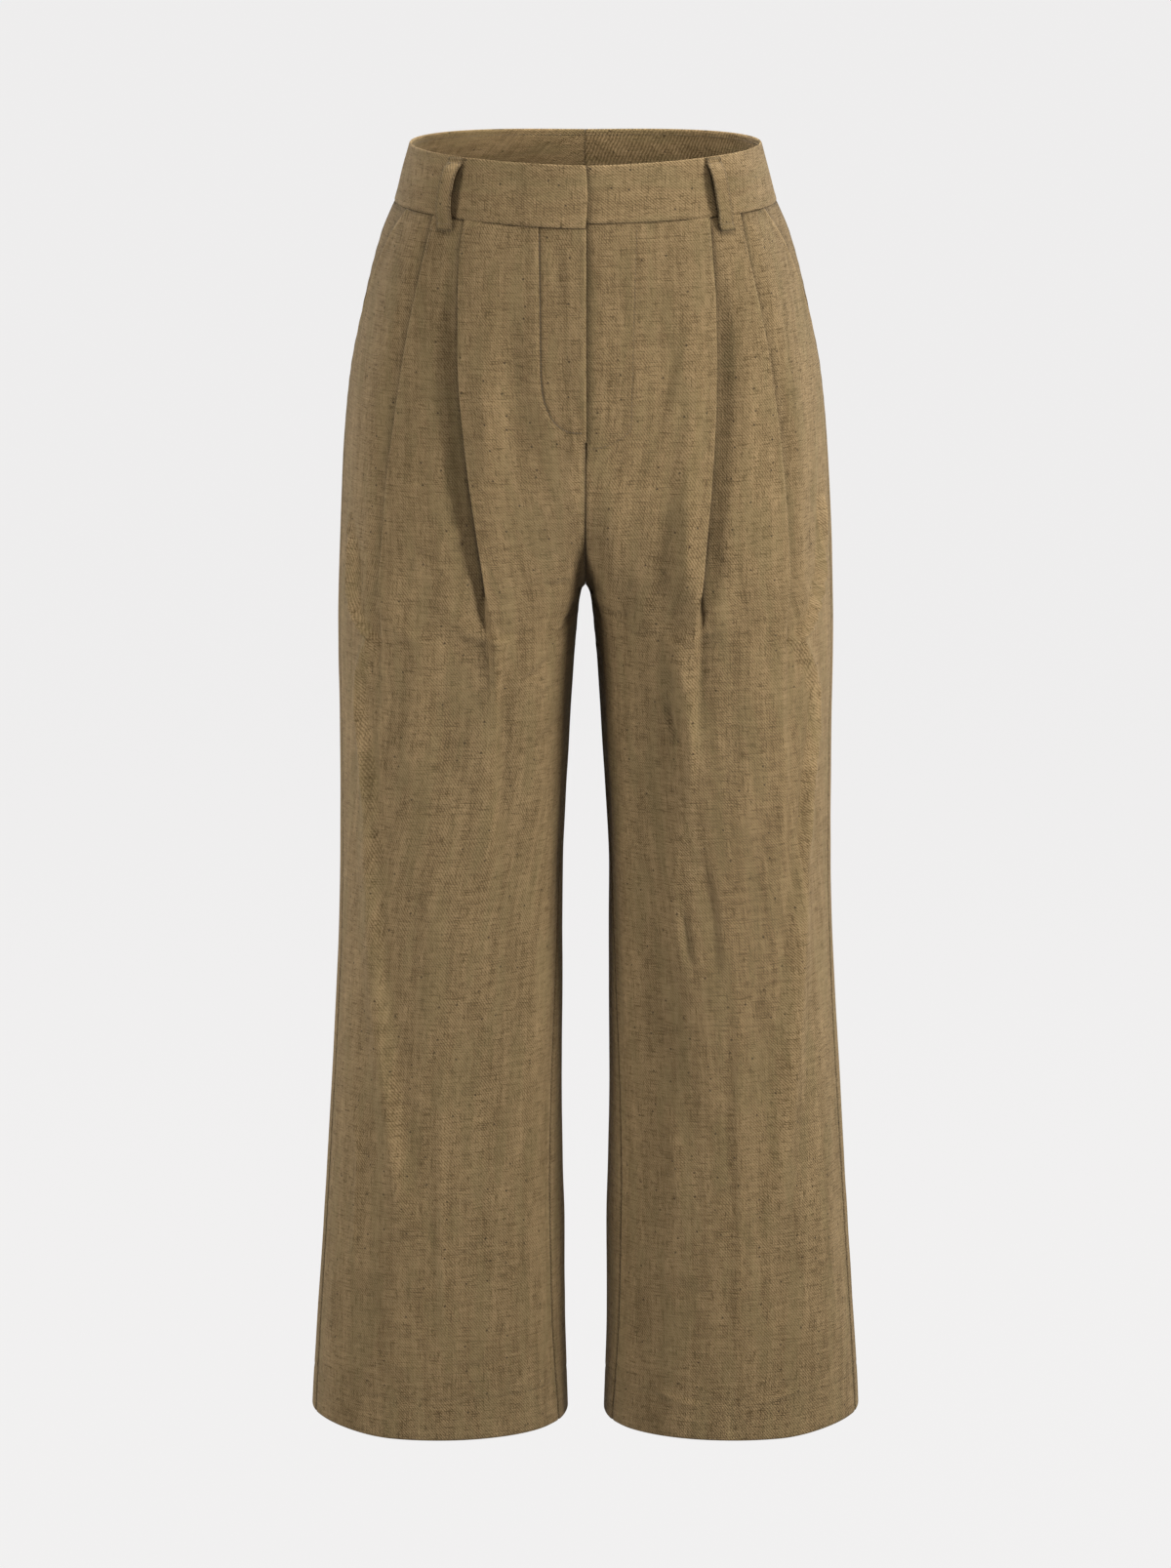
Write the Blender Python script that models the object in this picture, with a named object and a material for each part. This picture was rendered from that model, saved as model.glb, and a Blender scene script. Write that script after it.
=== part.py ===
"""Pleated wide-leg trousers, worn shape with nobody in them, in metres.

+Z up, the front faces -Y, the wearer's left is +X.  The origin is the middle of
the waistband ring.  Every cloth piece is a wall laid along one shared outer
surface: half-body sections above the crotch, leg tubes below it, blended where
the legs fork.  A piece is a grid of rows (heights) and columns (distances along
the section), and each row is a small folded profile, which is how the pleats
become real three-layer laps.
"""
import math

import bpy
import numpy as np

MM = 0.001

# ------------------------------------------------------------------ cloth
WALL = 1.0 * MM              # one layer of cloth
SEAM_GAP = 0.3 * MM          # clear space between sewn pieces
LAYER_STEP = 1.6 * MM        # from one layer of a fold to the next
HEM_DEPTH = 33 * MM          # turned-up hem, a double wall
HEM_Z = -0.966               # bottom edge of both legs

# ------------------------------------------------------------------ fork
CROTCH_Z = -0.308            # where the two legs part
FRONT_CURVE_Z = -0.175       # front crotch curve starts to turn under
BACK_CURVE_Z = -0.155        # back crotch curve starts to turn under
LEG_BLEND = (-0.160, -0.375)  # heights between which body becomes leg
FORK_REACH = 0.24            # share of the girth that the fork's curve pulls in
FORK_EASE = 0.20             # rounds the fork off away from its seam

# ------------------------------------------------------------------ waistband
BAND_WALL = 2.0 * MM
BAND_PROUD = 0.5 * MM        # band face over the panel face
BAND_UNDERLAP = 38 * MM      # left half runs on under the right half
BAND_LAP_RAISE = 1.0 * MM
BAND_UNDERLAP_DROP = 1.4 * MM
TOP_Z = {"front": 0.0220, "side": 0.0262, "back": 0.0224}
SEAM_Z = {"left": {"front": -0.0195, "side": -0.0172, "back": -0.0190},
          "right": {"front": -0.0233, "side": -0.0172, "back": -0.0190}}

# ------------------------------------------------------------------ fly
FLY_END_Z = -0.176           # the lap's free edge ends here
FLY_RAISE = 0.9 * MM         # right front over the fly
FLY_UNDERLAP = 8 * MM        # left front under it
FLY_UNDERLAP_DROP = 0.9 * MM
SHIELD_REACH = {"left": 36 * MM, "right": 32 * MM}
SHIELD_DROP = 2.6 * MM
SHIELD_END_Z = -0.186

# ------------------------------------------------------------------ pockets
POCKET_TOP_INSET = 40 * MM   # opening's top end, in from the side seam
POCKET_END_Z = -0.124        # opening's low end, on the side seam
FACING_UNDER = 10 * MM       # facing runs on under the front
FACING_DROP = 2.0 * MM
FACING_END_Z = -0.136

# ------------------------------------------------------------------ belt loops
LOOP_WIDTH = 13 * MM
LOOP_WALL = 1.4 * MM
LOOP_COLUMNS = ("node", "side", "u_top", "u_bottom", "half")
LOOP_ROWS = (
    ("belt_loop_front_right", "right", 0.0945, 0.1030, "front"),
    ("belt_loop_front_left", "left", 0.0935, 0.1035, "front"),
    ("belt_loop_back_right", "right", 0.1030, 0.1130, "back"),
    ("belt_loop_back_left", "left", 0.1030, 0.1130, "back"),
    ("belt_loop_back_centre", "left", 0.0000, 0.0000, "back"),
)
LOOP_PATH_COLUMNS = ("z", "off")     # height, middle of the strip off the surface
LOOP_PATH_ROWS = (
    (-0.0285, 0.0036),
    (-0.0225, 0.0038),
    (-0.0160, 0.0064),
    (-0.0080, 0.0070),
    (0.0060, 0.0070),
    (0.0145, 0.0062),
    (0.0195, 0.0019),
    (0.0240, 0.0018),
)
BACK_LOOP_PATH_ROWS = (             # set a little lower under the band's top edge
    (-0.0285, 0.0036),
    (-0.0225, 0.0038),
    (-0.0160, 0.0064),
    (-0.0080, 0.0078),
    (0.0040, 0.0078),
    (0.0100, 0.0060),
    (0.0145, 0.0019),
    (0.0190, 0.0018),
)

# ------------------------------------------------------------------ sections
# half_width: widest point, front and back: depth either side of the middle,
# fullness: how much squarer than an ellipse.
SECTION_COLUMNS = ("z", "half_width", "front", "back", "fullness")
SECTION_ROWS = (
    (0.030, 0.1300, 0.0955, 0.0955, 0.03),
    (0.004, 0.1371, 0.1015, 0.1010, 0.04),
    (-0.018, 0.1430, 0.1070, 0.1075, 0.05),
    (-0.036, 0.1508, 0.1105, 0.1135, 0.06),
    (-0.058, 0.1577, 0.1135, 0.1215, 0.07),
    (-0.103, 0.1684, 0.1180, 0.1365, 0.09),
    (-0.147, 0.1771, 0.1210, 0.1470, 0.11),
    (-0.203, 0.1824, 0.1225, 0.1510, 0.12),
    (-0.282, 0.1862, 0.1215, 0.1450, 0.12),
    (-0.350, 0.1878, 0.1170, 0.1370, 0.11),
    (-0.441, 0.1873, 0.1075, 0.1245, 0.09),
    (-0.533, 0.1879, 0.0980, 0.1130, 0.07),
    (-0.626, 0.1914, 0.0900, 0.1035, 0.05),
    (-0.719, 0.1970, 0.0850, 0.0970, 0.04),
    (-0.813, 0.2032, 0.0825, 0.0925, 0.03),
    (-0.908, 0.2094, 0.0815, 0.0895, 0.03),
    (-0.970, 0.2129, 0.0815, 0.0885, 0.03),
)
GAP_COLUMNS = ("z", "half_gap")      # between the legs
GAP_ROWS = (
    (-0.3080, 0.0000), (-0.3165, 0.0030), (-0.3500, 0.0066), (-0.3960, 0.0103),
    (-0.4410, 0.0130), (-0.4870, 0.0158), (-0.5330, 0.0177), (-0.6260, 0.0182),
    (-0.6950, 0.0185), (-0.7660, 0.0174), (-0.8130, 0.0162), (-0.8840, 0.0160),
    (-0.9310, 0.0148), (-0.9700, 0.0136),
)
SEAM_COLUMNS = ("z", "side_deg", "inseam_deg")   # how far each seam lies forward
SEAM_ROWS = (
    (0.030, 2.0, 7.0), (-0.124, 3.0, 7.0), (-0.250, 9.0, 7.0), (-0.308, 12.0, 7.0),
    (-0.420, 16.0, 9.0), (-0.500, 16.0, 12.0), (-0.620, 15.5, 20.0), (-0.700, 15.5, 24.5),
    (-0.800, 15.5, 28.0), (-0.880, 15.0, 26.0), (-0.970, 15.5, 21.0),
)

# ------------------------------------------------------------------ pleats
# distance of each fold edge from the centre line, going down
PLEAT_COLUMNS = ("z", "right_inner", "right_outer", "left_inner", "left_outer")
PLEAT_ROWS = (
    (-0.018, 0.0890, 0.1125, 0.0912, 0.1145),
    (-0.049, 0.0930, 0.1195, 0.0935, 0.1205),
    (-0.080, 0.0937, 0.1262, 0.0957, 0.1272),
    (-0.115, 0.0938, 0.1330, 0.0962, 0.1340),
    (-0.147, 0.0925, 0.1380, 0.0960, 0.1388),
    (-0.180, 0.0893, 0.1425, 0.0950, 0.1432),
    (-0.210, 0.0860, 0.1465, 0.0930, 0.1462),
    (-0.250, 0.0805, 0.1497, 0.0898, 0.1492),
    (-0.300, 0.0742, 0.1528, 0.0860, 0.1515),
    (-0.400, 0.0710, 0.1545, 0.0835, 0.1505),
    (-0.970, 0.0700, 0.1545, 0.0830, 0.1500),
)
# overlap of the folded part, half the step over the fold edge, its opened width
FOLD_COLUMNS = ("z", "overlap", "half_step", "open_width")
FOLD_ROWS = (
    (-0.018, 0.016, 0.0016, 0.007),
    (-0.080, 0.014, 0.0016, 0.007),
    (-0.150, 0.010, 0.0016, 0.007),
    (-0.220, 0.006, 0.0016, 0.007),
    (-0.280, 0.004, 0.0016, 0.007),
    (-0.310, 0.000, 0.0016, 0.010),
    (-0.370, 0.000, 0.0012, 0.018),
    (-0.450, 0.000, 0.0004, 0.030),
    (-0.520, 0.000, 0.0000, 0.040),
)
PLEAT_LAID_Z = -0.282        # above it the fold is three layers
PLEAT_OPENS_Z = -0.302       # below it a sloping step, between them an upright one
RAMP_BEFORE = 18 * MM        # top layer rises over this length
RAMP_AFTER = 14 * MM         # under layer comes back up over this length

# ------------------------------------------------------------------ large folds
# a fold runs through three points (u, z); height is + for a ridge, - for a trough
FOLD_LINE_COLUMNS = ("side", "u0", "z0", "u1", "z1", "u2", "z2", "width", "height")
FOLD_LINE_ROWS = (
    ("right", 0.180, -0.250, 0.166, -0.470, 0.136, -0.780, 0.014, 0.0022),
    ("left", 0.181, -0.230, 0.167, -0.470, 0.142, -0.800, 0.014, 0.0022),
    ("right", 0.111, -0.640, 0.111, -0.800, 0.111, -0.960, 0.010, 0.0016),
    ("left", 0.115, -0.660, 0.115, -0.810, 0.115, -0.960, 0.010, 0.0016),
    ("left", 0.077, -0.075, 0.064, -0.140, 0.048, -0.205, 0.009, -0.0016),
    ("right", 0.062, -0.420, 0.066, -0.560, 0.074, -0.720, 0.020, -0.0016),
    ("left", 0.056, -0.400, 0.062, -0.560, 0.072, -0.720, 0.020, -0.0016),
    ("right", 0.128, -0.430, 0.130, -0.600, 0.134, -0.800, 0.020, -0.0014),
    ("left", 0.126, -0.430, 0.130, -0.600, 0.136, -0.800, 0.020, -0.0014),
)
BACK_FOLD_COLUMNS = ("share0", "z0", "share1", "z1", "share2", "z2", "width", "height")
BACK_FOLD_ROWS = (            # share: 0 at the side seam, 1 at the back seam
    (0.50, -0.300, 0.52, -0.560, 0.52, -0.960, 0.012, 0.0020),
    (0.22, -0.260, 0.26, -0.480, 0.32, -0.760, 0.018, -0.0016),
    (0.74, -0.380, 0.72, -0.560, 0.70, -0.780, 0.018, -0.0016),
)

# ------------------------------------------------------------------ grids
# height of each row at the side, from the waist seam to the hem
ROW_Z = (None, -0.045, -0.075, -0.105, -0.124, -0.150, -0.176, -0.184, -0.198,
         -0.225, -0.252, -0.278, -0.296, -0.315, -0.335, -0.370, -0.420, -0.490,
         -0.570, -0.660, -0.760, -0.860, -0.9310, -0.9345, HEM_Z)
CROTCH_ROW_Z = -0.335        # side height of the row that meets the crotch point
FAN_TOP_Z = -0.205           # rows fan towards the crotch between these heights
FAN_END_Z = -0.600
COLUMNS_TO_PLEAT = 5
COLUMNS_BETWEEN = 2
COLUMNS_TO_SIDE = 4
EDGE_COLUMN = 11 * MM         # last column before the pocket edge or side seam
BACK_COLUMNS = 14
BAND_COLUMNS = 22
DENSE = 240                  # samples along one row's outer line

CLOTH = {"colour": (0.258, 0.193, 0.107, 1.0), "roughness": 0.88}


# ================================================================== helpers
def named(rows, names, name):
    return np.array([row[names.index(name)] for row in rows], dtype=float)


def through(xs, ys, x):
    """Monotone cubic through the points, held level past both ends."""
    xs, ys = np.asarray(xs, float), np.asarray(ys, float)
    if xs[0] > xs[-1]:
        xs, ys = xs[::-1], ys[::-1]
    step = np.diff(xs)
    rise = np.diff(ys) / step
    slope = np.zeros_like(xs)
    slope[0], slope[-1] = rise[0], rise[-1]
    for i in range(1, len(xs) - 1):
        if rise[i - 1] * rise[i] > 0:
            a, b = 2 * step[i] + step[i - 1], step[i] + 2 * step[i - 1]
            slope[i] = (a + b) / (a / rise[i - 1] + b / rise[i])
    x = np.clip(np.asarray(x, float), xs[0], xs[-1])
    i = np.clip(np.searchsorted(xs, x) - 1, 0, len(xs) - 2)
    h = step[i]
    t = (x - xs[i]) / h
    return ((2 * t**3 - 3 * t**2 + 1) * ys[i] + (t**3 - 2 * t**2 + t) * h * slope[i]
            + (-2 * t**3 + 3 * t**2) * ys[i + 1] + (t**3 - t**2) * h * slope[i + 1])


def section(name, z):
    return through(named(SECTION_ROWS, SECTION_COLUMNS, "z"),
                   named(SECTION_ROWS, SECTION_COLUMNS, name), z)


def smooth(t):
    t = np.clip(t, 0.0, 1.0)
    return t * t * (3 - 2 * t)


def ring_height(levels, share):
    """A height that changes from front to side to back, share 0..1 round the half."""
    angle = np.asarray(share, float) * math.pi
    c = np.cos(angle)
    return np.where(c >= 0, levels["side"] + (levels["front"] - levels["side"]) * c * c,
                    levels["side"] + (levels["back"] - levels["side"]) * c * c)


# ================================================================== outer surface
def sweep(q):
    """Share of the quarter turn covered at q, slower by the middle of the body."""
    return 0.44 * q + 0.56 * q * q


def blended(share, z):
    """Outer line of one half at height z, before its width and depth are trued."""
    width = section("half_width", z)
    front, back = section("front", z), section("back", z)
    full = section("fullness", z)
    middle = 0.5 * (back - front)
    depth = 0.5 * (back + front)
    seam_z = named(SEAM_ROWS, SEAM_COLUMNS, "z")
    side = np.radians(through(seam_z, named(SEAM_ROWS, SEAM_COLUMNS, "side_deg"), z))
    inseam = np.radians(through(seam_z, named(SEAM_ROWS, SEAM_COLUMNS, "inseam_deg"), z))
    gap = through(named(GAP_ROWS, GAP_COLUMNS, "z"), named(GAP_ROWS, GAP_COLUMNS, "half_gap"), z)

    # half body: angle 0 at the centre front, 90 degrees at the side
    turn = np.where(share < 0.5,
                    np.sign(share) * sweep(2 * np.abs(share)) * (math.pi / 2 - side),
                    (math.pi / 2 - side) + (1 - sweep(2 - 2 * share)) * (math.pi / 2 + side))
    c, s = np.cos(turn), np.sin(turn)
    body_x = width * s * (1 + full * c * c)
    body_y = middle - depth * c * (1 + full * s * s)

    # leg tube: angle 0 at the innermost point, 90 degrees at the front
    half = 0.5 * (width - gap)
    turn = np.where(share < 0.5, inseam + 2 * share * (math.pi - side - inseam),
                    (math.pi - side) + (2 * share - 1) * (math.pi + side + inseam))
    c, s = np.cos(turn), np.sin(turn)
    leg_x = gap + half - half * c * (1 + full * s * s)
    leg_y = middle - depth * s * (1 + full * c * c)

    # how far this point belongs to the leg
    soft = smooth((LEG_BLEND[0] - z) / (LEG_BLEND[0] - LEG_BLEND[1]))
    turn_z = np.where(share < 0.5, FRONT_CURVE_Z, BACK_CURVE_Z)
    t = np.maximum((turn_z - z) / (turn_z - CROTCH_Z), 0.0)
    apart = np.minimum(np.abs(share), np.abs(1 - share))
    ease = FORK_EASE * smooth(apart / 0.08) * smooth(1.4 * t)
    rest = 1 - t ** 2.2
    fork = 1 - np.sqrt(0.5 * (rest + np.sqrt(rest ** 2 + 4 * ease ** 2)))
    near = 1 - smooth(apart / FORK_REACH)
    w = soft + (fork - soft) * near
    return (body_x + (leg_x - body_x) * w, body_y + (leg_y - body_y) * w, middle)


TRUE_Z = np.linspace(-0.140, -0.420, 57)
TRUE_SHARE = np.linspace(0.0, 1.0, 161)


def extents():
    """Factors that bring each height's widest and deepest points to the table."""
    x, y, middle = blended(*np.meshgrid(TRUE_SHARE, TRUE_Z))
    middle = middle[:, 0]
    wide = section("half_width", TRUE_Z) / x.max(axis=1)
    fore = (section("front", TRUE_Z) + middle) / (middle - y.min(axis=1))
    aft = (section("back", TRUE_Z) - middle) / (y.max(axis=1) - middle)
    return wide, fore, aft


TRUE_WIDE, TRUE_FORE, TRUE_AFT = extents()


def outer(share, z):
    """Outer cloth surface of one half, for the +X side.

    share runs 0 at the centre front or inseam, 0.5 at the side seam, 1 at the
    centre back or inseam.
    """
    share, z = np.broadcast_arrays(np.asarray(share, float), np.asarray(z, float))
    x, y, middle = blended(share, z)
    gap = through(named(GAP_ROWS, GAP_COLUMNS, "z"), named(GAP_ROWS, GAP_COLUMNS, "half_gap"), z)
    width = section("half_width", z)
    wide = through(TRUE_Z, TRUE_WIDE, z)
    x = x + (wide - 1) * width * (x - gap) / (width - gap)
    y = middle + (y - middle) * np.where(y < middle, through(TRUE_Z, TRUE_FORE, z),
                                         through(TRUE_Z, TRUE_AFT, z))
    return np.stack([x + SEAM_GAP / 2, y, z], axis=-1)


def outer_normal(share, z):
    e, h = 0.002, 0.0015
    along = outer(share + e, z) - outer(share - e, z)
    up = outer(share, z + h) - outer(share, z - h)
    n = np.cross(along, up)
    return n / np.maximum(np.linalg.norm(n, axis=-1, keepdims=True), 1e-12)


class Row:
    """One line round the half at about one height, measured by its length."""

    def __init__(self, z_of_share, start=0.0, end=1.0):
        self.share = np.linspace(start, end, DENSE)
        self.z = z_of_share(self.share)
        self.point = outer(self.share, self.z)
        self.normal = outer_normal(self.share, self.z)
        self.length = np.concatenate([[0.0], np.cumsum(
            np.linalg.norm(np.diff(self.point, axis=0), axis=1))])
        self.length -= np.interp(0.0, self.share, self.length)

    def at(self, s, off):
        s = np.asarray(s, float)
        p = np.stack([np.interp(s, self.length, self.point[:, k]) for k in range(3)], -1)
        n = np.stack([np.interp(s, self.length, self.normal[:, k]) for k in range(3)], -1)
        n /= np.linalg.norm(n, axis=-1, keepdims=True)
        return p + n * np.asarray(off, float)[..., None]

    def where_u(self, u_of_z):
        """Length at which the line crosses the given distance from the middle."""
        pick = (self.share >= 0.0) & (self.share <= 0.5)
        gap = self.point[pick, 0] - u_of_z(self.z[pick])
        return float(np.interp(0.0, gap, self.length[pick]))

    def length_at(self, share):
        return float(np.interp(share, self.share, self.length))


def row_height(z_side):
    """Height along a row: it dips or lifts towards the crotch point."""
    if z_side >= FAN_TOP_Z:
        inner = z_side
    elif z_side >= CROTCH_ROW_Z:
        t = (FAN_TOP_Z - z_side) / (FAN_TOP_Z - CROTCH_ROW_Z)
        inner = CROTCH_Z + (FAN_TOP_Z - CROTCH_Z) * (1 - t) ** 1.5
    else:
        lift = CROTCH_Z - CROTCH_ROW_Z
        inner = z_side + lift * (1 - float(smooth((CROTCH_ROW_Z - z_side)
                                                  / (CROTCH_ROW_Z - FAN_END_Z))))
    return lambda share: z_side + (inner - z_side) * (
        1 - smooth(np.minimum(np.abs(share), 1 - share) / 0.25))


def seam_height(side, shift):
    return lambda share: ring_height(SEAM_Z[side], share) + shift


# ================================================================== folded profile
def offset_line(s, n, distance):
    """The profile moved sideways, with mitred corners."""
    p = np.stack([s, n], -1)
    d = np.diff(p, axis=0)
    d /= np.linalg.norm(d, axis=1, keepdims=True)
    normals = np.stack([-d[:, 1], d[:, 0]], -1)
    first = np.vstack([normals[:1], normals])
    last = np.vstack([normals, normals[-1:]])
    mitre = first + last
    mitre /= np.linalg.norm(mitre, axis=1, keepdims=True)
    stretch = 1 / np.maximum((mitre * first).sum(1), 0.5)
    q = p + mitre * (distance * stretch)[:, None]
    return q[:, 0], q[:, 1]


def fold_relief(side, half, row, s):
    """Height of the large soft folds at lengths s on a row."""
    u = np.interp(s, row.length, row.point[:, 0])
    z = np.interp(s, row.length, row.z)
    lift = np.zeros_like(u)
    if half == "front":
        for record in FOLD_LINE_ROWS:
            name, u0, z0, u1, z1, u2, z2, width, height = record
            if name != side:
                continue
            t = np.clip((z - z0) / (z2 - z0), 0.0, 1.0)
            t_mid = (z1 - z0) / (z2 - z0)
            line = through((0.0, t_mid, 1.0), (u0, u1, u2), t)
            fade = smooth((z0 + 0.03 - z) / 0.05) * smooth((z - z2 + 0.03) / 0.06)
            lift += height * fade * np.exp(-((u - line) / width) ** 2)
    else:
        share = np.interp(s, row.length, row.share) * 2 - 1
        for s0, z0, s1, z1, s2, z2, width, height in BACK_FOLD_ROWS:
            t = np.clip((z - z0) / (z2 - z0), 0.0, 1.0)
            line = through((0.0, (z1 - z0) / (z2 - z0), 1.0), (s0, s1, s2), t)
            span = row.length_at(1.0) - row.length_at(0.5)
            fade = smooth((z0 + 0.03 - z) / 0.05) * smooth((z - z2 + 0.03) / 0.06)
            lift += height * fade * np.exp(-((share - line) * span / width) ** 2)
    return lift


def fold(name, z):
    return float(through(named(FOLD_ROWS, FOLD_COLUMNS, "z"),
                         named(FOLD_ROWS, FOLD_COLUMNS, name), z))


def pleat_line(side, which):
    rows_z = named(PLEAT_ROWS, PLEAT_COLUMNS, "z")
    rows_u = named(PLEAT_ROWS, PLEAT_COLUMNS, side + "_" + which)
    return lambda z: through(rows_z, rows_u, z)


def ramp(s, edge, overlap, half_step):
    """Cloth rises to a fold edge and comes back up after it."""
    before = 1 - smooth((edge - s - overlap - 3 * MM) / RAMP_BEFORE)
    after = 1 - smooth((s - edge - 4 * MM) / RAMP_AFTER)
    return np.where(s < edge, half_step * before, -half_step * after)


def front_profile(side, row, z_side, start, end):
    """Length and height (of the wall's outer face) for each column of a row."""
    overlap, half_step = fold("overlap", z_side), fold("half_step", z_side)
    edges = [row.where_u(pleat_line(side, which)) for which in ("inner", "outer")]
    laid = z_side > PLEAT_LAID_Z
    turn = LAYER_STEP / 2
    if not laid and z_side > PLEAT_OPENS_Z:
        ds = np.array([-1.3, -0.3, 0.0, 0.0, 0.3, 1.3, 5.0]) * MM
        dn = np.array([1.0, 0.8, 0.3, -0.3, -0.8, -1.0, -1.0]) * LAYER_STEP
    elif laid:
        ds = np.array([0.0, turn, 0.0, -overlap, -overlap - turn, -overlap, 5 * MM])
        dn = np.array([1.0, 0.5, 0.0, 0.0, -0.5, -1.0, -1.0]) * LAYER_STEP
    else:
        ds = np.array([0.0, 0.17, 0.34, 0.5, 0.66, 0.83, 1.0]) * fold("open_width", z_side)
        dn = np.array([1.0, 0.86, 0.42, 0.0, -0.42, -0.86, -1.0]) * half_step
    pre = overlap + 3 * MM if laid else 4 * MM
    lengths, heights, owner = [], [], []

    def plain(a, b, count):
        for k in range(count):
            lengths.append(a + (b - a) * k / count)
            heights.append(0.0)
            owner.append(None)

    plain(start, edges[0] - pre, COLUMNS_TO_PLEAT)
    for index, edge in enumerate(edges):
        lengths.append(edge - pre)
        heights.append(0.0)
        owner.append(None)
        for a, b in zip(ds, dn):
            lengths.append(edge + a)
            heights.append(b)
            owner.append(index)
        here = edge + ds[-1]
        if index == 0:
            gap = edges[1] - pre - here
            for k in range(1, COLUMNS_BETWEEN + 1):
                lengths.append(here + gap * k / (COLUMNS_BETWEEN + 1))
                heights.append(0.0)
                owner.append(None)
        else:
            last = end - EDGE_COLUMN
            for k in range(1, COLUMNS_TO_SIDE):
                lengths.append(here + (last - here) * k / (COLUMNS_TO_SIDE - 1))
            lengths.append(end)
            heights += [0.0] * COLUMNS_TO_SIDE
            owner += [None] * COLUMNS_TO_SIDE
    s, n = np.array(lengths), np.array(heights)
    spread = float(smooth((-0.33 - z_side) / 0.22))
    s = s + (np.linspace(start, end, len(s)) - s) * spread
    n = n * (1 - spread)
    for index, edge in enumerate(edges):
        for k in range(len(s)):
            if owner[k] != index:
                n[k] += float(ramp(s[k], edge, overlap, half_step)) * (1 - spread)
    n = n + fold_relief(side, "front", row, s)
    return s, n


def fly_relief(side, s, z_side):
    """Right front rises over the fly, left front drops under it."""
    strength = float(smooth((z_side - (FLY_END_Z - 0.022)) / 0.010))
    if side == "right":
        return FLY_RAISE * strength * (1 - smooth((s - 10 * MM) / (12 * MM)))
    return -FLY_UNDERLAP_DROP * strength * (1 - smooth((s - 1 * MM) / (12 * MM)))


# ================================================================== solids
def closed_wall(name, outside, inside):
    """A closed solid between two grids of points, rows x columns."""
    rows, cols = outside.shape[:2]
    verts = np.concatenate([outside.reshape(-1, 3), inside.reshape(-1, 3)])
    base = rows * cols

    def a(r, c):
        return r * cols + c

    def b(r, c):
        return base + r * cols + c

    faces = []
    for r in range(rows - 1):
        for c in range(cols - 1):
            faces += [(a(r, c), a(r + 1, c), a(r + 1, c + 1)),
                      (a(r, c), a(r + 1, c + 1), a(r, c + 1)),
                      (b(r, c), b(r + 1, c + 1), b(r + 1, c)),
                      (b(r, c), b(r, c + 1), b(r + 1, c + 1))]
    for r in range(rows - 1):
        faces += [(a(r, 0), b(r, 0), b(r + 1, 0)), (a(r, 0), b(r + 1, 0), a(r + 1, 0))]
        e = cols - 1
        faces += [(a(r, e), b(r + 1, e), b(r, e)), (a(r, e), a(r + 1, e), b(r + 1, e))]
    for c in range(cols - 1):
        faces += [(a(0, c), b(0, c + 1), b(0, c)), (a(0, c), a(0, c + 1), b(0, c + 1))]
        e = rows - 1
        faces += [(a(e, c), b(e, c), b(e, c + 1)), (a(e, c), b(e, c + 1), a(e, c + 1))]
    return name, verts, faces


def add_object(name, verts, faces, mirror):
    verts = np.array(verts, float)
    if mirror:
        verts[:, 0] *= -1
        faces = [tuple(reversed(f)) for f in faces]
    mesh = bpy.data.meshes.new(name)
    mesh.from_pydata([tuple(v) for v in verts], [], faces)
    mesh.validate()
    mesh.shade_smooth()
    mesh.set_sharp_from_angle(angle=math.radians(50))
    material = bpy.data.materials.new(name + "_cloth")
    material.use_nodes = True
    bsdf = material.node_tree.nodes["Principled BSDF"]
    bsdf.inputs["Base Color"].default_value = CLOTH["colour"]
    bsdf.inputs["Roughness"].default_value = CLOTH["roughness"]
    bsdf.inputs["Metallic"].default_value = 0.0
    mesh.materials.append(material)
    obj = bpy.data.objects.new(name, mesh)
    bpy.context.scene.collection.objects.link(obj)
    return obj


def wall_rows(rows, profiles, walls):
    """Outer and inner grids from each row's profile of its outer face."""
    outside, inside = [], []
    for row, (s, n), wall in zip(rows, profiles, walls):
        mid = n - WALL / 2
        s_out, n_out = offset_line(s, mid, WALL / 2)
        s_in, n_in = offset_line(s, mid, WALL / 2 - wall)
        outside.append(row.at(s_out, n_out))
        inside.append(row.at(s_in, n_in))
    return np.array(outside), np.array(inside)


def keep_clear(grid):
    """No point of a half crosses its side of the centre line."""
    grid[..., 0] = np.maximum(grid[..., 0], SEAM_GAP / 2)
    return grid


def front(side):
    rows, profiles, walls = [], [], []
    for z in ROW_Z:
        height = seam_height(side, -SEAM_GAP / 2) if z is None else row_height(z)
        z_side = float(height(0.5))
        row = Row(height, -0.08, 0.56)
        below = float(height(0.0)) < CROTCH_Z + 0.1 * MM
        start = SEAM_GAP / 2 if below else 0.0
        lapped = z_side > FLY_END_Z - 4 * MM
        if side == "left" and lapped:
            start = -FLY_UNDERLAP
        seam = row.length_at(0.5) - SEAM_GAP / 2
        inset = POCKET_TOP_INSET * max(0.0, (z_side - POCKET_END_Z)
                                       / (SEAM_Z[side]["side"] - POCKET_END_Z))
        s, n = front_profile(side, row, z_side, start, seam - inset)
        n = n + fly_relief(side, s, z_side)
        rows.append(row)
        profiles.append((s, n))
        walls.append(2 * WALL if z_side < HEM_Z + HEM_DEPTH else WALL)
    outside, inside = wall_rows(rows, profiles, walls)
    if side == "right":
        outside, inside = keep_clear(outside), keep_clear(inside)
    else:
        for k, z in enumerate(ROW_Z):
            if z is not None and z < FLY_END_Z - 4 * MM:
                outside[k], inside[k] = keep_clear(outside[k]), keep_clear(inside[k])
    return closed_wall("front_" + side, outside, inside)


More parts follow.
